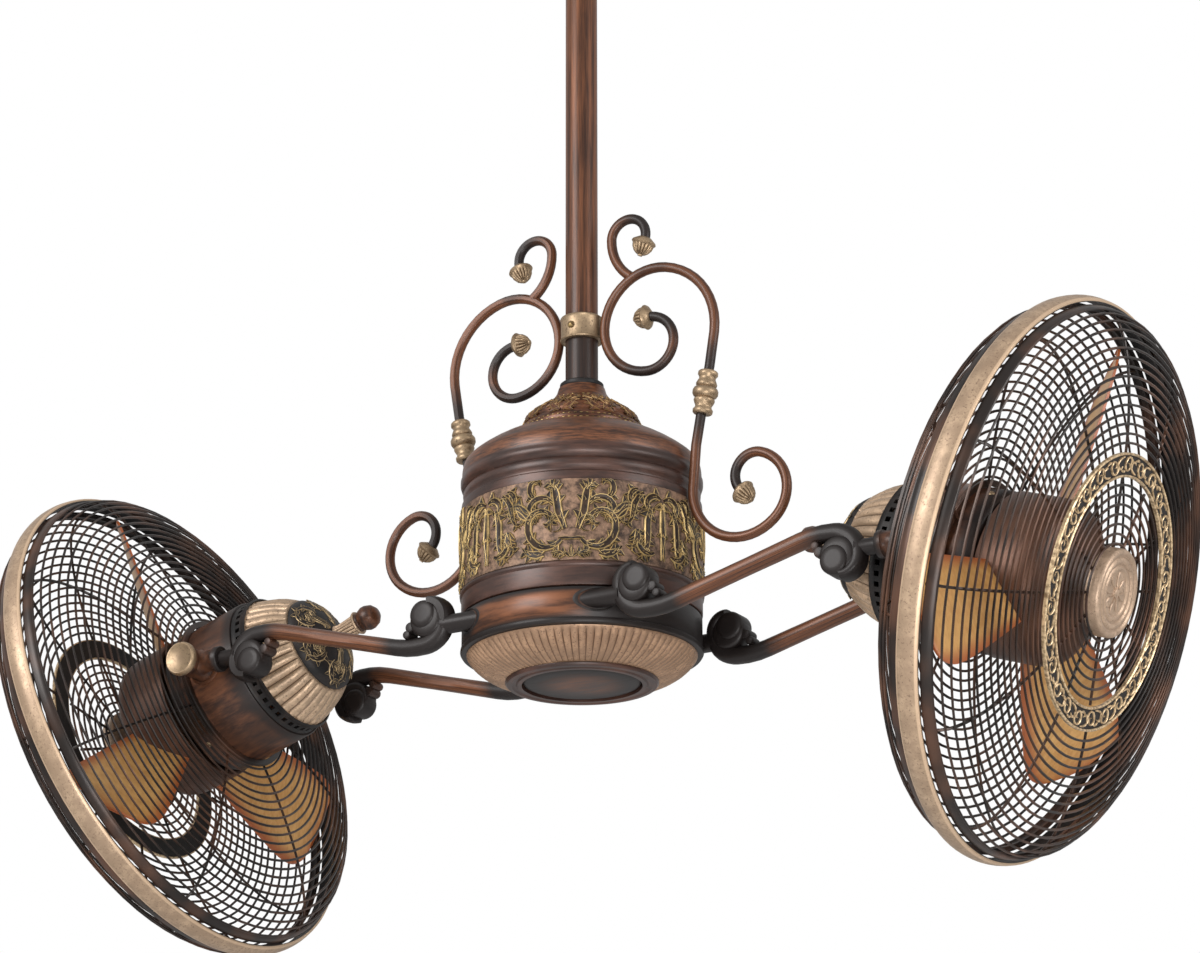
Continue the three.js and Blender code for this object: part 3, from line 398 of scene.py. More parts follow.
def swept(shape, stations, sides, size, square=1.0, hollow=1.0):
    """Adds a bar along stations in the XZ plane; size(share) gives (thickness, width).

    A square below 1 makes the section boxy, a hollow below 1 sinks the middle of its top.
    The grain layer keeps how far along, and how far round, each point is.
    """
    layers = shape.verts.layers.float_vector
    grain = layers.get("grain") or layers.new("grain")
    ring = bmesh.ops.create_circle(shape, segments=sides, radius=1)["verts"]
    edges = [e for e in shape.edges if e.verts[0] in ring]
    for v in ring:
        v[grain] = v.co
        v.co.x = math.copysign(abs(v.co.x) ** square, v.co.x)
        v.co.y = math.copysign(abs(v.co.y) ** square, v.co.y)
        if v.co.x > 0.9:
            v.co.x = hollow
    before = Matrix.Identity(4)
    length = 0
    fresh = []
    for i, (x, z, heading) in enumerate(stations):
        thickness, width = size(i / (len(stations) - 1))
        lean = (-math.sin(heading) * thickness / 2, math.cos(heading) * thickness / 2)
        here = Matrix(((0, lean[0], math.cos(heading), x), (width / 2, 0, 0, 0),
                       (0, lean[1], math.sin(heading), z), (0, 0, 0, 1)))
        if i:
            length += math.dist(stations[i - 1][:2], (x, z))
            ring, edges = extruded(shape, edges)
        else:
            bmesh.ops.edgeloop_fill(shape, edges=edges)
        bmesh.ops.transform(shape, matrix=here @ before.inverted(), verts=ring)
        for v in ring:
            v[grain] = (length / 100, v[grain][1], v[grain][2] if i else v[grain][0])
        before = here
        fresh += ring
    bmesh.ops.edgeloop_fill(shape, edges=edges)
    return fresh


def stroke(shape, start, heading, arcs, width, depth=2.6, step=24):
    """Adds one carved blade of a leaf, hollow down its middle; it swells, then comes to a point."""
    def size(share):
        swell = min(1, 0.5 + share * 2) * max(0.14, 1 - share ** 2.4)
        return width * swell, depth * max(0.5, swell)
    swept(shape, arc_chain(start, heading, arcs, step), 8, size, hollow=0.35)


def acanthus(shape, start, heading, arcs, width, lobes, depth=6.0):
    """Adds a leaf: a stem along the arcs, and lobes that curl away from it on both sides."""
    lobe_lean, lobe_curl = 24, 64
    stroke(shape, start, heading, arcs, width * 0.8, depth, 20)
    stations = arc_chain(start, heading, arcs, 6)
    for k in range(lobes):
        share = (k + 0.4) / (lobes + 0.2)
        x, z, angle = stations[int(share * (len(stations) - 1))]
        length = width * (1.0 - 0.4 * share)
        for way in (1, -1):
            lean = math.degrees(angle) + way * lobe_lean
            curl = [(length * 0.9, way * lobe_curl)]
            stroke(shape, (x, z), lean, curl, length * 0.8, depth * 0.85, 32)


def copied(shape, geometry):
    """Copies part of a shape, and gives the copy's verts."""
    copy = bmesh.ops.duplicate(shape, geom=geometry)["geom"]
    return [g for g in copy if isinstance(g, bmesh.types.BMVert)]


def mirrored(shape, along=(-1, 1, 1), shift=0.0):
    """Adds the mirror image of everything in a shape, shifted along X."""
    verts = copied(shape, shape.verts[:] + shape.edges[:] + shape.faces[:])
    bmesh.ops.scale(shape, vec=along, verts=verts)
    bmesh.ops.translate(shape, vec=(shift, 0, 0), verts=verts)


def repeated(shape, count, spacing):
    """Adds copies of everything in a shape along X."""
    first = shape.verts[:] + shape.edges[:] + shape.faces[:]
    for i in range(1, count):
        bmesh.ops.translate(shape, vec=(spacing * i, 0, 0), verts=copied(shape, first))


def wrapped(shape, line, girth):
    """Bends flat carving round the axis: X goes round, Z up a line of (radius, height), Y out."""
    lengths = [0]
    for a, b in zip(line, line[1:]):
        lengths.append(lengths[-1] + math.dist(a, b))
    for v in shape.verts:
        i = max(k for k in range(len(line) - 1) if k == 0 or v.co.z > lengths[k])
        run = lengths[i + 1] - lengths[i]
        share = (v.co.z - lengths[i]) / run
        (r0, z0), (r1, z1) = line[i], line[i + 1]
        radius = r0 + (r1 - r0) * share + v.co.y * (z1 - z0) / run
        height = z0 + (z1 - z0) * share - v.co.y * (r1 - r0) / run
        angle = v.co.x / girth * math.tau
        v.co = (radius * math.cos(angle), radius * math.sin(angle), height)


gold_bright = (0.62, 0.44, 0.19)


def leaf_sockets(where, low, high, gold=gold_bright, fullness=1.0):
    """Dark paint on carved leaves, with gold rubbed along the ridges on both sides of each."""
    across, outward = where.attribute("grain", "Vector").parts()[1:]
    blotch = where.noise(160, 4)
    side = across * across
    ridge = side.between(0.24, 0.5) * side.between(0.62, 0.98, 1, 0.1) * outward.between(-0.3, 0.3)
    worn = ridge * blotch.between(0.3, 0.55, 0.45, 1) * fullness
    tone = worn.blend(blotch.between(0.35, 0.7).blend(low, high), gold)
    return dict(Base_Color=tone, Roughness=blotch * 0.2 + 0.36, Metallic=worn * 0.5 + 0.15,
                Normal=where.noise(900, 3).bump(0.35, 0.0003), Specular_IOR_Level=0.35)


def dome_sockets(where):
    glazed = copper_sockets(where, where.noise(60).between(0.6, 0.8, 0, 0.4), (0.4, 0.4, 2))
    return {**glazed, "Metallic": 0.35, "Roughness": 0.34}


def wreath_sockets(where):
    return leaf_sockets(where, (0.03, 0.012, 0.007), (0.16, 0.058, 0.026), (0.42, 0.27, 0.11), 0.7)


dome_glaze = glaze("dome_glaze", dome_sockets, (0, 0, -0.5))
wreath_gilt = glaze("wreath_gilt", wreath_sockets)
lathe_piece([
    (16.1, 196.4), (19, 196), (20.5, 191), (24, 185.5), (30, 179.5), (38, 174.5), (44, 170.5), (47, 166.5),
    (46.6, 164), (48, 162.4), (49.6, 159.6), (49.8, 156.4), (49, 154), (45.5, 154), (39.5, 169), (16.1, 188),
], 96, "dome", hub_place, "hung_hub", "copper", dome_glaze, "dome_cover")

wreath_count, wreath_step = 9, 26
wreath = bmesh.new()
stroke(wreath, (-8, 3), 56, [(60, 24)], 3.4, 4)
acanthus(wreath, (1, 2), 30, [(14, 76)], 6.5, 3, 4.2)
acanthus(wreath, (4, 17), 34, [(11, 84)], 5.6, 3, 4.2)
acanthus(wreath, (0.5, 17), 84, [(60, 14)], 5, 3, 4.2)
mirrored(wreath)
repeated(wreath, wreath_count, wreath_step)
wreath_line = [(48.3, 161), (47.8, 165), (44.4, 170.8), (38.4, 175), (30.4, 180), (24.4, 186)]
wrapped(wreath, wreath_line, wreath_count * wreath_step)
made(wreath, "wreath", hub_place, "hung_hub", "gilt", wreath_gilt)


def beads(shape, count, radius, height, size, long):
    """Adds a ring of small beads, lengthened round the ring."""
    bead = bmesh.ops.create_icosphere(shape, subdivisions=1, radius=size)["verts"]
    bmesh.ops.scale(shape, vec=(1, long, 0.8), verts=bead)
    bmesh.ops.translate(shape, vec=(radius, 0, height), verts=bead)
    edges = list({e for v in bead for e in v.link_edges})
    faces = list({f for v in bead for f in v.link_faces})
    bmesh.ops.spin(shape, geom=bead + edges + faces, axis=(0, 0, 1), cent=(0, 0, 0), use_duplicate=True,
                   angle=math.tau * (count - 1) / count, steps=count - 1)


def gilt_sockets(where):
    blotch = where.noise(160, 4)
    tone = blotch.between(0.3, 0.65).blend((0.08, 0.045, 0.02), (0.42, 0.29, 0.12))
    return dict(Base_Color=tone, Roughness=blotch * 0.25 + 0.28, Metallic=0.75)


old_gilt = glaze("old_gilt", gilt_sockets)
bead_lines = bmesh.new()
beads(bead_lines, 38, 25.4, 184, 0.7, 1.9)
beads(bead_lines, 66, 49.6, 159, 0.65, 2.2)
beads(bead_lines, 84, 62.6, 150.8, 0.7, 2.2)
made(bead_lines, "bead_lines", hub_place, "hung_hub", "gilt", old_gilt)


# ---- Upper housing and lower ring ----
# A drum of spun steel: a copper brown roof, then dark brown mouldings with two deep grooves.
# The ornament band goes round the drum and the plain lower ring closes it.
def bronze_sockets(where):
    cloud = where.noise(22, 4, stretch=(1, 1, 2.5))
    grain = where.noise(240, 4, stretch=(0.25, 0.25, 2))
    tone = (cloud * 0.7 + grain * 0.4).between(0.4, 0.75).blend((0.034, 0.017, 0.013), (0.092, 0.041, 0.028))
    return dict(Base_Color=tone, Roughness=grain * 0.15 + 0.33, Metallic=0.25, Normal=grain.bump(0.2),
                Coat_Weight=0.1, Coat_Roughness=0.25)


def housing_sockets(where):
    roof = copper_sockets(where, where.noise(20).between(0.6, 0.8, 0, 0.4), (0.35, 0.35, 3))
    plain = bronze_sockets(where)
    on_roof = where.parts()[2].between(-0.5475, -0.5455)
    return {**plain, "Base_Color": on_roof.blend(plain["Base_Color"], roof["Base_Color"])}


dark_bronze = glaze("dark_bronze", bronze_sockets)
housing_glaze = glaze("housing_glaze", housing_sockets)
lathe_piece([
    (16.2, 148.3), (44, 148.3), (92.5, 117), (92.5, 20), (95.5, 20), (95.5, 87), (97, 87), (97.2, 90),
    (97, 93.5), (94.6, 95.2), (94.4, 97), (95.6, 99), (96, 103), (95, 105.4), (94.4, 106.2), (97, 108.5),
    (98, 111.5), (98, 114.5), (96.8, 116), (96.9, 118), (96.8, 122), (96.2, 126), (95, 129.4), (92, 132.6),
    (87, 136.6), (80, 141.4), (73, 145.6), (66, 149.2), (60, 151.6), (54, 153.2), (48, 154), (16.2, 151.6),
], 128, "upper_drum", hub_place, "hung_hub", "bronze", housing_glaze, "upper_housing")
lathe_piece([
    (92.5, 19.7), (97.4, 19.7), (98, 18.6), (97.6, 16.4), (96.6, 15.4), (96.5, 3), (96, 0.8), (95, 0.5),
    (92.5, 0.5),
], 128, "lower_hoop", hub_place, "hung_hub", "bronze", dark_bronze, "lower_ring")


# ---- Ornament band ----
# A cast band of acanthus scrolls: gold is rubbed on its edges over near-black paint, in front
# of a blotchy tan ground. Facing scrolls take turns with a hanging spray of leaves.
def ground_sockets(where):
    blotch = where.noise(150, 5, 0.7)
    tone = blotch.between(0.32, 0.68).blend((0.035, 0.019, 0.012), (0.3, 0.18, 0.115))
    return dict(Base_Color=tone, Roughness=0.55, Metallic=0.3, Normal=blotch.bump(0.6, 0.0005))


def band_leaf_sockets(where):
    return leaf_sockets(where, (0.012, 0.007, 0.005), (0.05, 0.028, 0.015))


tan_ground = glaze("tan_ground", ground_sockets)
band_gilt = glaze("band_gilt", band_leaf_sockets)
lathe_piece([(95.6, 20.3), (97.2, 20.3), (97.2, 86.7), (95.6, 86.7)], 128,
            "band_ground", hub_place, "hung_hub", "gilt", tan_ground)

# right half of each group: where a leaf starts, its heading, arcs, width and pairs of lobes
facing_leaves = [
    ((5, 25), 64, [(70, 24), (12, -50)], 11, 5),
    ((8, 16), -55, [(14, 95), (19, 60), (11, 120), (6, 140)], 9.5, 9),
    ((14, 45), 62, [(11, -120), (7, -150)], 9, 4),
    ((22, 5), -14, [(17, 70)], 11, 3),
    ((33, 30), 84, [(20, -50), (8, -110)], 11, 4),
    ((27, 50), 16, [(9, 100), (5, 130)], 8, 3),
    ((5, 4), 24, [(22, -30)], 7, 3),
]
spray_leaves = [
    ((0.5, 52), -88, [(300, -9)], 10, 5),
    ((2, 55), 36, [(9, -90), (6, -150)], 9, 4),
    ((11, 48), -66, [(50, -30), (22, 60)], 10, 5),
    ((18, 58), -30, [(20, -60), (14, 60)], 9, 4),
    ((9, 10), -36, [(9, 100), (5, 130)], 8, 3),
    ((23, 60), -4, [(8, -150)], 8, 3),
    ((32, 50), -82, [(22, 30), (9, 120)], 10, 5),
    ((24, 27), -100, [(18, 60)], 10, 4),
]
facing_strokes = [
    ((0, 17), 2, [(200, 3)], 4.2, 5), ((0.5, 2), 84, [(40, 14)], 4, 4), ((1, 2), 52, [(12, -40)], 4, 4),
    ((16, 34), 150, [(6, 220)], 4.4, 4.4),
]
band_groups = 8
band_step = math.tau * 98.5 / band_groups
band_low, band_high, band_reach = 20.6, 86.4, 100.8
groups = [("band_scrolls", 44, facing_leaves, facing_strokes, ["ornament_band"]),
          ("band_sprays", 44 + band_step, spray_leaves, [], [])]
for name, offset, leaves, strokes, nodes in groups:
    relief = bmesh.new()
    for leaf in leaves:
        acanthus(relief, *leaf)
    for line in strokes:
        stroke(relief, *line)
    mirrored(relief)
    bmesh.ops.translate(relief, vec=(offset, 0, 0), verts=relief.verts)
    repeated(relief, band_groups // 2, 2 * band_step)
    wrapped(relief, [(97.4, band_low), (97.4, band_high)], band_groups * band_step)
    for v in relief.verts:
        pull = min(1, band_reach / math.hypot(v.co.x, v.co.y))
        v.co = (v.co.x * pull, v.co.y * pull, min(max(v.co.z, band_low), band_high))
    made(relief, name, hub_place, "hung_hub", "gilt", band_gilt, *nodes)


# ---- Turning half of the hub ----
# A spun steel band carries the arms, glazed copper between them and left dark near them. Under
# it hang a cast fluted bowl in speckled tan gold, a dark trim ring and a disc with a copper eye.
def band_sockets(where):
    x, y, z = where.parts()
    edge = z.between(-0.6905, -0.6855, 1, 0).larger(z.between(-0.6715, -0.667))
    shade = (x * x).between(0.0009, 0.0034).larger(edge)
    return copper_sockets(where, shade, (0.12, 0.12, 1), 240)


def speckle_sockets(where, light=(0.46, 0.28, 0.17), dark=(0.07, 0.04, 0.026), metallic=0.45):
    """Tan gold stippled with dark paint; painted shade darkens the flutes' valleys and the concave corners."""
    stipple = where.noise(520, 4, 0.7)
    cloud = where.noise(70, 5, 0.7).between(0.4, 0.7, 0.4, 0)
    # painted shade: points in concave corners are darkened in the colour
    cavity_shade = where.node("NewGeometry", output="Pointiness").between(0.42, 0.492, 0.85, 0)
    spots = stipple.between(0.53, 0.64, 0, 0.72)
    # painted shade also darkens the flute valleys that flute() marks deep
    tone = spots.larger(where.attribute("deep")).larger(cloud).larger(cavity_shade).blend(light, dark)
    return dict(Base_Color=tone, Roughness=stipple * 0.3 + 0.28, Metallic=metallic, Normal=stipple.bump(0.3))


def eye_sockets(where):
    x, y, z = where.parts()
    away = (x * x + y * y) ** 0.5
    return copper_sockets(where, away.between(0.012, 0.04, 0.25, 1), (0.15, 1, 1), 220)


rotor_glaze = glaze("rotor_glaze", band_sockets)
speckled_gold = glaze("speckled_gold", speckle_sockets)
disc_glaze = glaze("disc_glaze", eye_sockets)
lathe_piece([
    (93, -0.5), (95.4, -0.5), (96, -1.2), (96, -23.5), (95.2, -24.4), (95.2, -25.4), (96.8, -26.2),
    (97, -28), (96, -29.6), (93, -30), (88, -30), (92, -26), (93, -25),
], 128, "rotor_hoop", hub_place, "turning_hub", "copper", rotor_glaze, "rotor_band")

# the round rims of the spigots' holes are laid on the drum, where they become ovals
drum_radius, arm_offset, hole_height = 96, 76, -10.8
rim_profile = [(8.6, -5), (8.6, 0.6), (9.2, 1.1), (9.9, 0.9), (10.2, -0.4), (10.2, -5)]
rims = bmesh.new()
for x_way, y_way in ((1, 1), (1, -1), (-1, 1), (-1, -1)):
    for v in turned(rims, rim_profile, 48):
        y = arm_offset * y_way + v.co.x
        on_drum = math.sqrt(drum_radius ** 2 - y ** 2)
        v.co = (x_way * (on_drum + v.co.z), y, v.co.y + hole_height)
made(rims, "spigot_rims", hub_place, "turning_hub", "bronze", satin_black)


def castable():
    """A new shape whose points can be marked as deep."""
    shape = bmesh.new()
    shape.verts.layers.float.new("deep")
    return shape


def flute(shape, verts, count, depth, inside):
    """Presses flutes into turned verts that inside() picks, and marks how deep each point lies."""
    deep = shape.verts.layers.float["deep"]
    for v in verts:
        radius = math.hypot(v.co.x, v.co.y)
        if inside(radius, v.co.z):
            ridge = abs(math.sin(math.atan2(v.co.y, v.co.x) * count / 2)) ** 0.6
            v[deep] = max(0, 1 - 1.5 * ridge) * 0.9
            scale = 1 - depth * (1 - ridge) / radius
            v.co.x *= scale
            v.co.y *= scale


bowl_flutes = 88
bowl = castable()
outside = turned(bowl, [
    (92, -30.3), (91.6, -31.5), (90.6, -33), (87.5, -37), (83, -41), (77, -44.8), (70, -48), (63, -50.3),
    (61, -50.9), (60, -51), (60, -48.5), (76, -42), (85, -30.3),
], bowl_flutes * 8)
flute(bowl, outside, bowl_flutes, 2.2, lambda r, z: 61.5 < r < 91 and z < -30.3 - (92 - r) * 0.4)
made(bowl, "bowl", hub_place, "turning_hub", "pewter", speckled_gold, "fluted_bowl")
lathe_piece([
    (48, -54.3), (48, -47.3), (51, -47.3), (51, -51.3), (61, -51.3), (61, -52.4), (59.6, -54), (56, -54.3),
    (54.6, -53.2), (52.6, -53.2), (51.4, -54.3),
], 96, "trim_hoop", hub_place, "turning_hub", "bronze", dark_bronze, "trim_ring")
lathe_piece([(0, -54), (40, -53.8), (44, -53.2), (46.6, -52.2), (47.6, -50.6), (47.7, -49), (0, -49)], 96,
            "disc", hub_place, "turning_hub", "copper", disc_glaze, "bottom_disc")


# ---- Scroll ornaments ----
# Bent round bar in copper glaze, left nearly black at its ends, with a gold fluted cup closing
# each curl and a turned ferrule half-way down. A tan gold ring clamps both to the rod.
def bar_sockets(where, shade):
    """Copper glaze whose grain follows a swept bar."""
    return copper_sockets(where.attribute("grain", "Vector"), shade, (0.1, 1, 1), 12)


def scroll_sockets(where):
    x, y, z = where.parts()
    height = z + (where.noise(60) - 0.5) * 0.02
    ferrule = ((height + 0.493) * (height + 0.493)).between(0.0005, 0.003, 0.95, 0)
    beside = (x * x) ** 0.5 - 0.066
    join = (beside * beside + (height + 0.345) * (height + 0.345)).between(0.0003, 0.0016, 0.95, 0)
    way = where.attribute("grain", "Vector").parts()[0]
    tips = way.between(0.2, 0.55, 0.97, 0).larger(way.between(6.1, 6.4, 0, 0.97))
    return bar_sockets(where, ferrule.larger(tips).larger(join))


def worn_sockets(where):
    return speckle_sockets(where, (0.47, 0.335, 0.205), (0.05, 0.032, 0.022), 0.7)


scroll_glaze = glaze("scroll_glaze", scroll_sockets)
worn_gold = glaze("worn_gold", worn_sockets)
scroll_arcs = [(23.3, -181.8), (42.3, -88.1), (46.3, -102.5), (59, -83.4), (552, -6),
               (376, 11.5), (43.5, 131.9), (33.3, 120.2), (17.5, 154.2)]
main_curl = arc_chain((63.5, 247.5), -1.9, scroll_arcs, 8)
top_curl = arc_chain((60, 316.1), 70.1, [(16.1, 198.9), (42.5, 56.3)], 8)


def fluted_cup(shape, x, z, heading):
    """Adds the gold cup that closes a curl, its axis along the heading."""
    place = Matrix.Translation((x, 0, z)) @ Matrix.Rotation(math.pi / 2 - heading, 4, "Y")
    verts = turned(shape, [
        (0, -2), (5.2, -2), (6.6, -1), (9.6, 1.2), (10.3, 2.6), (9.4, 3.9), (8.8, 4.4), (8.9, 5),
        (8.3, 7.6), (6.4, 10.6), (3.8, 12.6), (2.2, 13), (2, 14), (0, 14.3),
    ], 96)
    flute(shape, verts, 16, 1.7, lambda radius, height: 4.6 < height < 12.8)
    bmesh.ops.transform(shape, matrix=place, verts=verts)


def start_of(line):
    """The first station of a line, headed back out of it."""
    x, z, heading = line[0]
    return x, z, heading + math.pi


ferrule_place = Matrix.Translation((114.5, 0, 172)) @ Matrix.Rotation(math.radians(10), 4, "Y")
ferrule = both_ways([
    (0, 18), (7, 18), (8, 17), (8.2, 14.6), (7, 13), (6.6, 11.4), (7.8, 9), (8.6, 7), (8.4, 5.6),
    (7.4, 4.6), (9.4, 3.4), (10.4, 1.4),
])
sides = {"right": Matrix.Identity(4), "left": Matrix.Rotation(math.pi, 4, "Z")}
for side, half_turn in sides.items():
    place = half_turn @ hub_place
    bars = bmesh.new()
    for curl in (main_curl, top_curl):
        swept(bars, curl, 16, lambda share: (8.2, 8.2))
    made(bars, f"scroll_bar_{side}", place, "hung_hub", "copper", scroll_glaze, f"scroll_{side}")
    cups = castable()
    for end in (start_of(main_curl), main_curl[-1], start_of(top_curl)):
        fluted_cup(cups, *end)
    turned(cups, ferrule, 48, ferrule_place)
    made(cups, f"scroll_cups_{side}", place, "hung_hub", "gilt", worn_gold)

clamp_height = 248
lathe_piece(both_ways([(13.65, 10), (17.2, 10), (17.8, 9), (17.2, 7.6)], clamp_height), 64,
            "clamp", hub_place, "hung_hub", "pewter", worn_gold, "scroll_clamp")
clamp_screw = bmesh.new()
turned(clamp_screw, [(0, 2.4), (1.6, 2.2), (2.8, 1.2), (3.1, 0), (0, 0)], 20,
       Matrix.Translation((0, -17.1, clamp_height)) @ z_to_minus_y)
made(clamp_screw, "clamp_screw", hub_place, "hung_hub", "gilt", old_gilt)


# ---- Arms ----
# Cast bars that swell into a volute at each end, copper glazed in the middle of their length
# and nearly black at the volutes, each held by a round spigot at the hub and at the head.
def arm_sockets(where):
    x = where.parts()[0]
    from_middle = (x * x) ** 0.5 - 0.19
    shade = (from_middle * from_middle + (where.noise(40) - 0.5) * 0.0015).between(0.0018, 0.0042)
    return bar_sockets(where, shade)


arm_glaze = glaze("arm_glaze", arm_sockets)
arm_half = arc_chain((0, 0), 180, [(13, 90), (21.5, 84), (76.5, 21)], 9)
end_x, end_z, slope = arm_half[-1]
half_straight = 56
middle = (end_x + math.cos(slope) * half_straight, end_z + math.sin(slope) * half_straight)
near_half = [(x - middle[0], z - middle[1], heading) for x, z, heading in arm_half]
straight = [(near_half[-1][0] * k, near_half[-1][1] * k, slope) for k in (0.6, 0.2, -0.2, -0.6)]
far_half = [(-x, -z, heading) for x, z, heading in reversed(near_half)]
arm_line = near_half + straight + far_half
volute_x, volute_z = near_half[0][:2]
arm_middle = 181
spigot_root, neck, spigot_tip = 16 - arm_middle, volute_x - 12, 131.9
hub_spigot = [(0, spigot_root), (7.6, spigot_root), (7.6, neck - 4), (8.6, neck), (0, neck)]
head_spigot = [(0, -neck), (8.2, -neck), (6.6, -neck + 5), (6.6, spigot_tip), (0, spigot_tip)]
# eye, ground behind it and the two lobes of the bud: place, radius and half width
volute_parts = [(4, -11, 11.6, 10.6), (2, -15, 14.5, 9), (17, -19.5, 4.4, 7.6), (20.5, -25, 3.6, 7)]


def arm_size(share):
    from_end = 2 * min(share, 1 - share)
    swell = min(1, from_end / 0.6)
    taper = max(0, (from_end - 0.6) / 0.4)
    return 8.5 + 7.5 * swell - 3.5 * taper, 14 + 6 * (1 - swell)


def arm_side(node):
    """The half turn that brings a node from the right, and its Y (mm) before that turn."""
    low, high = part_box(node)
    middle_y = (low.y + high.y) * 500
    return (sides["right"], middle_y) if low.x > 0 else (sides["left"], -middle_y)


for node in [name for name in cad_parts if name.startswith("arm_")]:
    half_turn, middle_y = arm_side(node)
    bar = bmesh.new()
    swept(bar, arm_line, 16, arm_size, 0.82)
    for flip in (1, -1):
        for x, z, radius, half in volute_parts:
            centre = Matrix.Translation((flip * (volute_x + x), 0, flip * (volute_z + z)))
            face = [(0, half), (radius * 0.5, half), (radius * 0.8, half - 0.3), (radius * 0.95, half - 1.3),
                    (radius, half - 2.8)]
            turned(bar, both_ways(face), 36, centre @ z_to_minus_y)
    turned(bar, hub_spigot, 24, Matrix.Translation((0, 0, -2.5)) @ z_to_x)
    turned(bar, head_spigot, 24, Matrix.Translation((0, 0, 1.5)) @ z_to_x)
    place = half_turn @ Matrix.Translation((arm_middle / 1000, middle_y / 1000, -0.6733)) @ thousandth
    made(bar, f"{node}_bar", place, "turning_hub", "bronze", arm_glaze, node)


# ---- Knuckles and pull knobs ----
# Each head hangs between two cast tees on the arms' ends. A sprung knob with a plain tan gold
# face sits on one of them and locks the tilt; the other end is closed.
def tee_sockets(where):
    x = where.parts()[0]
    shade = ((x * x) ** 0.5).between(0.299, 0.308, 1, 0.4)
    return copper_sockets(where, shade, (1, 0.3, 1), 180)


tee_glaze = glaze("tee_glaze", tee_sockets)
tilt_reach, tilt_height = 0.3274, -0.6718
tilt_point = Matrix.Translation((tilt_reach, 0, tilt_height))
tee_ring = both_ways([(6.95, 13), (11, 13), (12.5, 12), (12.5, 9.6), (11.8, 8.8)])
tee_stem = [(6.9, -29), (10, -29), (10.7, -28), (10.7, -24), (9.6, -23), (9.2, -19), (8.6, -15), (9.4, -11),
            (10.4, -9), (6.9, -9)]
for node in [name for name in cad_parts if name.startswith("knuckle_")]:
    half_turn, middle_y = arm_side(node)
    tee = bmesh.new()
    turned(tee, tee_ring, 40, z_to_y)
    turned(tee, tee_stem, 40, z_to_x)
    beside = Matrix.Translation((0, math.copysign(arm_offset, middle_y) / 1000, 0))
    place = half_turn @ tilt_point @ beside @ thousandth
    made(tee, f"{node}_tee", place, "turning_hub", "copper", tee_glaze, node)

for side, half_turn in sides.items():
    knob = bmesh.new()
    turned(knob, [
        (0, 75), (4, 75), (4, 89.3), (12.4, 89.3), (13.6, 90), (14.2, 91.4), (14.2, 94), (13.8, 95.3),
        (12.8, 96.3), (12, 96.3), (11.4, 95.8), (0, 95.8),
    ], 64, z_to_y)
    place = half_turn @ tilt_point @ thousandth
    made(knob, f"knob_{side}", place, f"knob_{side}", "pewter", worn_gold, f"pull_knob_{side}")


# ---- Heads: motor housing, vent ring, fluted cone, rear cap and tilt handle ----
# Spun and cast shells on one axis. The housing is copper glaze that fades to near black at both
# ends, the vent ring black, the cone tan gold, the cap black with rubbed leaves.
def shell_sockets(where):
    x = where.parts()[0]
    ends = x.between(-0.028, -0.006, 0.95, 0).larger(x.between(0.016, 0.034, 0, 0.95))
    under = where.noise(16).between(0.42, 0.7, 0.1, 0.7)
    return copper_sockets(where, ends.larger(under), (0.25, 1, 1), 150)


def cone_sockets(where):
    return speckle_sockets(where, (0.6, 0.42, 0.275), (0.05, 0.035, 0.026))


def ball_sockets(where):
    return copper_sockets(where, where.noise(40).between(0.4, 0.7, 0, 0.6), (1, 0.4, 0.4), 220)


def badge_sockets(where):
    return speckle_sockets(where, (0.56, 0.4, 0.28), (0.12, 0.075, 0.05))


def leaf_cap_sockets(where):
    return leaf_sockets(where, (0.012, 0.009, 0.009), (0.03, 0.022, 0.018), (0.5, 0.36, 0.19))


def spun_cup_sockets(where):
    cloud = where.noise(20, 3)
    ring = where.noise(300, 3, stretch=(2, 0.05, 0.05))
    tone = (cloud * 0.5 + ring * 0.5).between(0.3, 0.7).blend((0.07, 0.036, 0.025), (0.17, 0.082, 0.05))
    return dict(Base_Color=tone, Roughness=ring * 0.2 + 0.3, Metallic=0.5)


def blade_sockets(where):
    grain = where.noise(330, 3, stretch=(1, 1, 0.15))
    mixed = (grain * 0.5 + where.noise(14) * 0.5).between(0.3, 0.75)
    tone = mixed.blend((0.56, 0.27, 0.075), (0.8, 0.47, 0.17))
    edged = where.attribute("rim").between(0.62, 1.0).blend(tone, (0.42, 0.11, 0.03))
    return dict(Base_Color=edged, Roughness=grain * 0.15 + 0.33, Metallic=0.05, Normal=grain.bump(0.15),
                Coat_Weight=0.25, Coat_Roughness=0.25)


def wire_sockets(where):
    tone = where.noise(18, 2).between(0.4, 0.75).blend((0.018, 0.013, 0.011), (0.12, 0.056, 0.033))
    return dict(Base_Color=tone, Roughness=0.36, Metallic=0.4)


def hoop_sockets(where):
    x, y, z = where.parts()
    inside = ((y * y + z * z) ** 0.5).between(0.2088, 0.2094, 1, 0)
    edge = x.between(0.0822, 0.0832).larger(x.between(0.0686, 0.0696, 1, 0)) * 0.8
    gold = speckle_sockets(where, (0.5, 0.355, 0.235), (0.12, 0.07, 0.045))
    rimmed = edge.blend(gold["Base_Color"], (0.66, 0.47, 0.31))
    return {**gold, "Base_Color": inside.blend(rimmed, (0.012, 0.01, 0.01))}


def vine_sockets(where):
    worn = where.noise(300, 3).between(0.35, 0.6)
    tone = worn.blend((0.3, 0.2, 0.11), (0.74, 0.55, 0.33))
    return dict(Base_Color=tone, Roughness=worn * -0.1 + 0.42, Metallic=0.5)


def deep_black_sockets(where):
    mottle = where.noise(300, 3)
    tone = mottle.blend((0.004, 0.003, 0.003), (0.012, 0.009, 0.008))
    return dict(Base_Color=tone, Roughness=mottle * 0.2 + 0.6)


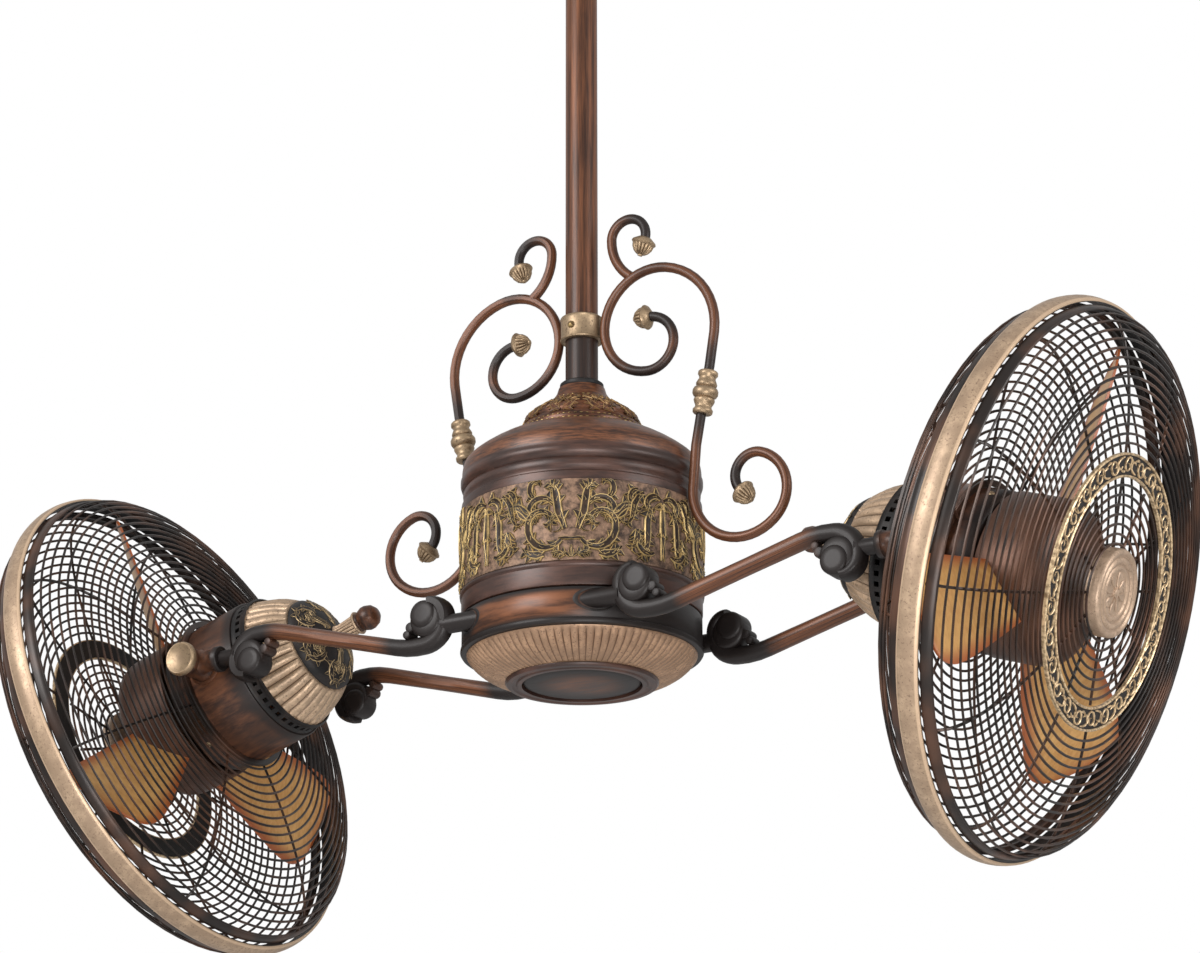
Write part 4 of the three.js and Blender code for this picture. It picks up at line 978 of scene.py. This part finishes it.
tilt = math.radians(18.5)
axle = Matrix(((0, 0, 1, 0), (0, -1, 0, 0), (1, 0, 0, 0), (0, 0, 0, 1)))
head_place = tilt_point @ Matrix.Rotation(tilt, 4, "Y") @ thousandth @ axle
head_spots = {"right": ((tilt_reach, 0, tilt_height), (0, tilt, 0)),
              "left": ((-tilt_reach, 0, tilt_height), (0, tilt, math.pi))}
head_finishes = {
    "shell_glaze": shell_sockets, "vent_black": black_sockets, "cone_gold": cone_sockets,
    "ball_copper": ball_sockets, "badge_gold": badge_sockets, "cap_leaf": leaf_cap_sockets,
    "cup_brown": spun_cup_sockets, "blade_amber": blade_sockets, "guard_bronze": wire_sockets,
    "hoop_gold": hoop_sockets, "vine_gold": vine_sockets, "deep_black": deep_black_sockets,
}
head_glazes = {(finish, side): glaze(f"{finish}_{side}", sockets, *head_spots[side])
               for side in sides for finish, sockets in head_finishes.items()}


def on_head(side, shape, name, slot, finish, node=None, body="head"):
    """Finishes a piece of one head; the side is added to its name, node, body and finish."""
    nodes = [f"{node}_{side}"] if node else []
    made(shape, f"{name}_{side}", sides[side] @ head_place, f"{body}_{side}", slot,
         head_glazes[finish, side], *nodes)


def lathe_on_head(side, profile, count, *finish):
    """Turns one profile and finishes it with what on_head() takes."""
    shape = bmesh.new()
    turned(shape, profile, count)
    on_head(side, shape, *finish)


vent_slots = 44
vent_line = [(59.2, -41), (59.2, -38.4), (59.2, -34.2), (59.2, -31.6), (60, -30.3)]
cap_leaf_count, cap_leaf_step = 6, 30
for side in sides:
    housing = bmesh.new()
    turned(housing, [
        (59, -30), (61.4, -30), (62, -29.2), (62, 35), (61.4, 38), (60, 40), (57.5, 41), (6, 41), (6, 32),
        (57, 36), (59, 34),
    ], 96)
    for way, end in ((z_to_minus_y, 74.7), (z_to_y, 85.7)):
        turned(housing, [(0, 56), (15.6, 56), (15, 60), (14.6, 62), (13.6, 62.7), (6.6, 62.7), (6.6, end),
                         (0, end)], 32, way)
    on_head(side, housing, "housing", "copper", "shell_glaze", "motor_housing")
    screws = bmesh.new()
    for angle in (0.6, -0.6, math.pi + 0.6, math.pi - 0.6):
        place = Matrix.Rotation(angle, 4, "Z") @ Matrix.Translation((62, 0, 30)) @ z_to_x
        turned(screws, [(0, 1), (0.5, 1), (0.8, 1.5), (1.8, 1.2), (2.6, 0), (0, 0)], 20, place)
    made(screws, f"housing_screws_{side}", sides[side] @ head_place, f"head_{side}", "gilt", worn_gold)

    vent = bmesh.new()
    bmesh.ops.create_circle(vent, segments=vent_slots * 4, radius=60, matrix=Matrix.Translation((0, 0, -42)))
    loop = vent.edges[:]
    for radius, height in vent_line:
        ring, loop = extruded(vent, loop)
        for v in ring:
            angle = math.atan2(v.co.y, v.co.x)
            v.co = (radius * math.cos(angle), radius * math.sin(angle), height)
    holes = []
    for face in vent.faces:
        centre = face.calc_center_median()
        step = int((math.atan2(centre.y, centre.x) / math.tau % 1) * vent_slots * 4)
        if -38.3 < centre.z < -34.3 and step % 4 in (0, 1):
            holes.append(face)
    bmesh.ops.delete(vent, geom=holes, context="FACES")
    bmesh.ops.recalc_face_normals(vent, faces=vent.faces)
    bmesh.ops.solidify(vent, geom=vent.faces[:], thickness=2.2)
    on_head(side, vent, "vents", "black", "vent_black", "vent_ring")

    cone = castable()
    verts = turned(cone, [
        (41.5, -74.5), (42.6, -74), (44.2, -72), (48.6, -65), (52, -58), (54.6, -51), (56.4, -45),
        (57.4, -42.6), (57.4, -42.3), (54, -42.3), (48, -58), (39, -74.5),
    ], 36 * 8)
    flute(cone, verts, 36, 2.8, lambda r, z: -73.8 < z < -42.5 and r > 55 + (z + 42.3) * 0.49)
    on_head(side, cone, "cone", "pewter", "cone_gold", "fluted_cone")

    lathe_on_head(side, [
        (38.1, -74.8), (40.6, -74.8), (40.6, -78), (38.4, -81.4), (34, -85), (28, -88.8), (22, -91.8),
        (14, -94.6), (6.35, -96), (6.35, -86), (30, -80),
    ], 72, "cap", "black", "vent_black", "rear_cap")
    leaves = bmesh.new()
    acanthus(leaves, (0.8, 2), 86, [(200, 4), (9, -40)], 11, 4, 3)
    acanthus(leaves, (8, 18), 66, [(12, 110)], 8, 3, 3)
    mirrored(leaves)
    repeated(leaves, cap_leaf_count, cap_leaf_step)
    leaf_line = [(8, -95.6), (14.2, -94.6), (22.2, -91.8), (28.2, -88.8), (34.4, -85), (39.6, -80.2)]
    wrapped(leaves, leaf_line, cap_leaf_count * cap_leaf_step)
    on_head(side, leaves, "cap_leaves", "black", "cap_leaf")

    lathe_on_head(side, [
        (0, -138), (5, -137.2), (8.6, -134), (10.4, -129), (10.3, -125.6), (8.6, -121.6), (7.4, -120.4),
        (8, -119.6), (8, -118.4), (0, -118.4),
    ], 48, "handle_ball", "copper", "ball_copper", "tilt_handle")
    stem = castable()
    verts = turned(stem, [
        (0, -118.6), (9.6, -118.6), (10.2, -117.6), (9.6, -116.4), (8.4, -115.6), (7.6, -108), (7, -100),
        (7.4, -97.4), (8, -96.3), (0, -84),
    ], 80)
    flute(stem, verts, 16, 1.2, lambda radius, height: -115.8 < height < -97)
    on_head(side, stem, "handle_neck", "pewter", "cone_gold")


# ---- Guards, hoop and badge ----
# Two cages of bronze brown wire, each a dome of rings on spokes with a black rim. A tan gold hoop
# clamps them; the front one has a ring of gold vines and a round badge with a plain rosette.
hoop_middle = 76
guard_radius = 204.6


def guard_line(inner, flat, rim, shoulder):
    """Evenly spaced (radius, depth) points along a guard's rounded dome, inner ring to rim."""
    samples, steps = 400, 60
    fine = []
    for k in range(samples + 1):
        share = 1 - (1 - k / samples) ** 2
        rise = 1 - (1 - share ** 1.6) ** shoulder
        fine.append((inner + (guard_radius - inner) * share, flat + (rim - flat) * rise))
    lengths = [0]
    for a, b in zip(fine, fine[1:]):
        lengths.append(lengths[-1] + math.dist(a, b))
    stops = [lengths[-1] * k / steps for k in range(steps + 1)]
    return [fine[min(range(samples + 1), key=lambda i: abs(lengths[i] - stop))] for stop in stops]


def at(line, share):
    """The point at a share of the way along an evenly spaced line."""
    position = share * (len(line) - 1)
    i = min(int(position), len(line) - 2)
    (r0, z0), (r1, z1) = line[i], line[i + 1]
    return r0 + (r1 - r0) * (position - i), z0 + (z1 - z0) * (position - i)


def wire_rings(shape, spots):
    """Adds round wire hoops, each (radius, depth), about Z."""
    for radius, depth in spots:
        section = bmesh.ops.create_circle(shape, segments=6, radius=1.05)["verts"]
        place = Matrix.Translation((radius, 0, depth)) @ z_to_minus_y
        bmesh.ops.transform(shape, verts=section, matrix=place)
    bmesh.ops.spin(shape, geom=shape.verts[:] + shape.edges[:], axis=(0, 0, 1), cent=(0, 0, 0),
                   angle=math.tau, steps=72, use_merge=True)
    bmesh.ops.remove_doubles(shape, verts=shape.verts, dist=0.01)


def spokes(shape, line, count):
    """Adds wires that follow a (radius, depth) line out from the axis, half a step off X."""
    stations = []
    for i, (radius, depth) in enumerate(line):
        a, b = line[max(i - 1, 0)], line[min(i + 1, len(line) - 1)]
        stations.append((radius, depth, math.atan2(b[1] - a[1], b[0] - a[0])))
    for k in range(count):
        verts = swept(shape, stations, 6, lambda share: (2.4, 2.4))
        spin = Matrix.Rotation(math.tau * (k + 0.5) / count, 3, "Z")
        bmesh.ops.rotate(shape, verts=verts, cent=(0, 0, 0), matrix=spin)


def rim_band(shape, way):
    """Adds the black band inside a guard's rim, before or behind the hoop's middle."""
    half = [(201.6, 8.6), (206.6, 8.6), (206.4, 12), (205.4, 16), (203.6, 17.4), (204.2, 12),
            (203.4, 10.6), (201.6, 10.6)]
    turned(shape, [(radius, hoop_middle + way * depth) for radius, depth in half], 96)


rear_line = guard_line(62.8, 18, 66.5, 0.39)
front_line = guard_line(103, 125, 85.5, 0.36)
rear_rings = [at(rear_line, k / 22) for k in range(1, 23)]
front_rings = [at(front_line, k / 17) for k in range(1, 18)] + [(36 + 7.2 * k, 125) for k in range(7)]
# one turn of the vine: where each tendril or leaf starts, its heading, its arcs and its width
vine_strokes = [
    ((-15, -6), 0, [(18, 24), (7, 84)], 1.9),
    ((-5.9, -2), 108, [(6, -198), (4.2, -150), (2.3, -160)], 1.9),
    ((5.4, -4.4), -20, [(7, 64)], 2.6),
    ((-6.2, 1.6), 140, [(4.6, 90)], 2.4),
]
vine_count, vine_step = 13, 45.4
rosette_count, rosette_step = 8, 7.5

for side in sides:
    rear = bmesh.new()
    wire_rings(rear, rear_rings)
    spokes(rear, [(radius - 0.6, depth + 2.2) for radius, depth in rear_line[::3]], 8)
    turned(rear, [(62.6, 15.4), (67, 15.4), (67.6, 16), (67.6, 18.2), (67, 18.8), (62.6, 18.8)], 96)
    rim_band(rear, -1)
    on_head(side, rear, "rear_wires", "black", "guard_bronze", "rear_guard")

    front = bmesh.new()
    wire_rings(front, front_rings)
    spokes(front, [(30, 123), (84, 123)], 12)
    spokes(front, [(radius - 0.6, depth - 2.2) for radius, depth in front_line[::3]], 12)
    turned(front, [(28.2, 123.7), (32.4, 123.7), (32.4, 126.3), (28.2, 126.3)], 64)
    rim_band(front, 1)
    on_head(side, front, "front_wires", "black", "guard_bronze", "front_guard")

    lathe_on_head(side, [(86, 123.7), (102, 123.7), (102, 125.4), (86, 125.4)], 96,
                  "ornament_ground", "black", "deep_black")
    vines = bmesh.new()
    for line in vine_strokes:
        stroke(vines, *line, 2.8, 30)
    mirrored(vines, (1, 1, -1), vine_step / 2)
    repeated(vines, vine_count, vine_step)
    bmesh.ops.translate(vines, vec=(0, 0, 8.5), verts=vines.verts)
    wrapped(vines, [(102.5, 125.6), (85.5, 125.6)], vine_count * vine_step)
    for radius in (85.8, 102.2):
        inner, outer = radius - 0.9, radius + 0.9
        turned(vines, [(inner, 124), (outer, 124), (outer, 126.4), (radius, 127.2), (inner, 126.4)], 96)
    on_head(side, vines, "ornament_vines", "gilt", "vine_gold")

    hoop = both_ways([(208.4, 8.5), (210.2, 8.5), (211.3, 7.4), (212, 5), (212.6, 2), (212.7, 0)], hoop_middle)
    lathe_on_head(side, hoop, 128, "hoop", "pewter", "hoop_gold", "guard_hoop")

    lathe_on_head(side, [
        (0, 120), (30, 120), (32, 120.4), (33.2, 121.6), (33.2, 130.6), (32.4, 132.4), (30.8, 133.2),
        (29.2, 132.8), (28.2, 131.6), (26.8, 131.4), (25.8, 132.4), (24.4, 132.9), (23, 132.4),
        (22.2, 131.2), (20.8, 131), (19.8, 131.8), (18.6, 132.2), (17.4, 131.8), (16.6, 130.8),
        (12, 130.2), (0, 130.6),
    ], 96, "badge", "pewter", "badge_gold", "medallion")
    rosette = bmesh.new()
    stroke(rosette, (0, 0), 88, [(200, 4)], 6, 2.6, 1)
    repeated(rosette, rosette_count, rosette_step)
    wrapped(rosette, [(15.8, 130.6), (2.6, 130.6)], rosette_count * rosette_step)
    turned(rosette, [(0, 132.6), (2, 132.4), (3.4, 131.6), (3.8, 130.2), (0, 130)], 32)
    on_head(side, rosette, "badge_rosette", "pewter", "badge_gold")


# ---- Blades ----
# A spun cup covers the motor's shaft and carries three broad amber blades. They are pitched and
# cambered, narrow to a rounded tip, and their edges are stained red.
blade_root, blade_tip, blade_level = 61.6, 185, 68
blade_phase = math.radians(8)
for side in sides:
    lathe_on_head(side, [
        (60, 44), (62.4, 44), (63, 45), (63, 78), (62.4, 84), (60.6, 89.6), (57, 94), (52, 97), (47, 98),
        (0, 98), (0, 82.3), (5.3, 82.3), (5.3, 56), (11.3, 56), (13.3, 95), (50, 95), (60, 84),
    ], 96, "spinner", "bronze", "cup_brown", "blade_hub", "blades")
    for index in range(3):
        blade = bmesh.new()
        rim = blade.verts.layers.float.new("rim")
        bmesh.ops.create_grid(blade, x_segments=24, y_segments=36, size=1)
        for v in blade.verts:
            share, chord_share = (v.co.y + 1) / 2, v.co.x / 2
            radius = blade_root + (blade_tip - blade_root) * math.sin(share * math.pi / 2)
            swell = math.sin(min(1, share * 1.25) * math.pi / 2)
            narrowing = math.sqrt(max(0.06, 1 - max(0, (share - 0.42) / 0.58) ** 3))
            out = (52 + 36 * swell) * narrowing * chord_share
            pitch = math.radians(38 - 10 * share)
            camber = 7 * (0.25 - chord_share ** 2)
            v[rim] = max(abs(v.co.x), share)
            v.co = (radius - 10 * chord_share ** 2, -out * math.cos(pitch),
                    blade_level - out * math.sin(pitch) + camber)
        bmesh.ops.solidify(blade, geom=blade.faces[:], thickness=-2.2)
        turn = Matrix.Rotation(math.tau * index / 3 - blade_phase, 3, "Z")
        bmesh.ops.rotate(blade, verts=blade.verts, cent=(0, 0, 0), matrix=turn)
        made(blade, f"blade_petal_{side}_{index + 1}", sides[side] @ head_place, f"blades_{side}", "amber",
             head_glazes["blade_amber", side], f"blade_{side}_{index + 1}")


# ---- Hidden steel parts ----
# Shafts, bearings and the carrier are machined steel, the stators wound with lacquered copper.
# They show only through gaps and from above, and keep the shapes of the CAD solids.
def winding_sockets(where):
    strand = where.noise(800, 2, stretch=(1, 1, 0.3))
    tone = strand.between(0.35, 0.65).blend((0.14, 0.045, 0.02), (0.38, 0.15, 0.06))
    return dict(Base_Color=tone, Roughness=0.45, Metallic=0.4)


turned_steel = machined_steel("turned_steel", (0.34, 0.34, 0.34))
dress(turned_steel, "hub_shaft", "hub_bearing", "rotor_frame", "motor_shaft_right", "motor_shaft_left")
dress(satin_black, "slip_ring")
dress(glaze("copper_winding", winding_sockets), "motor_stator_right", "motor_stator_left")
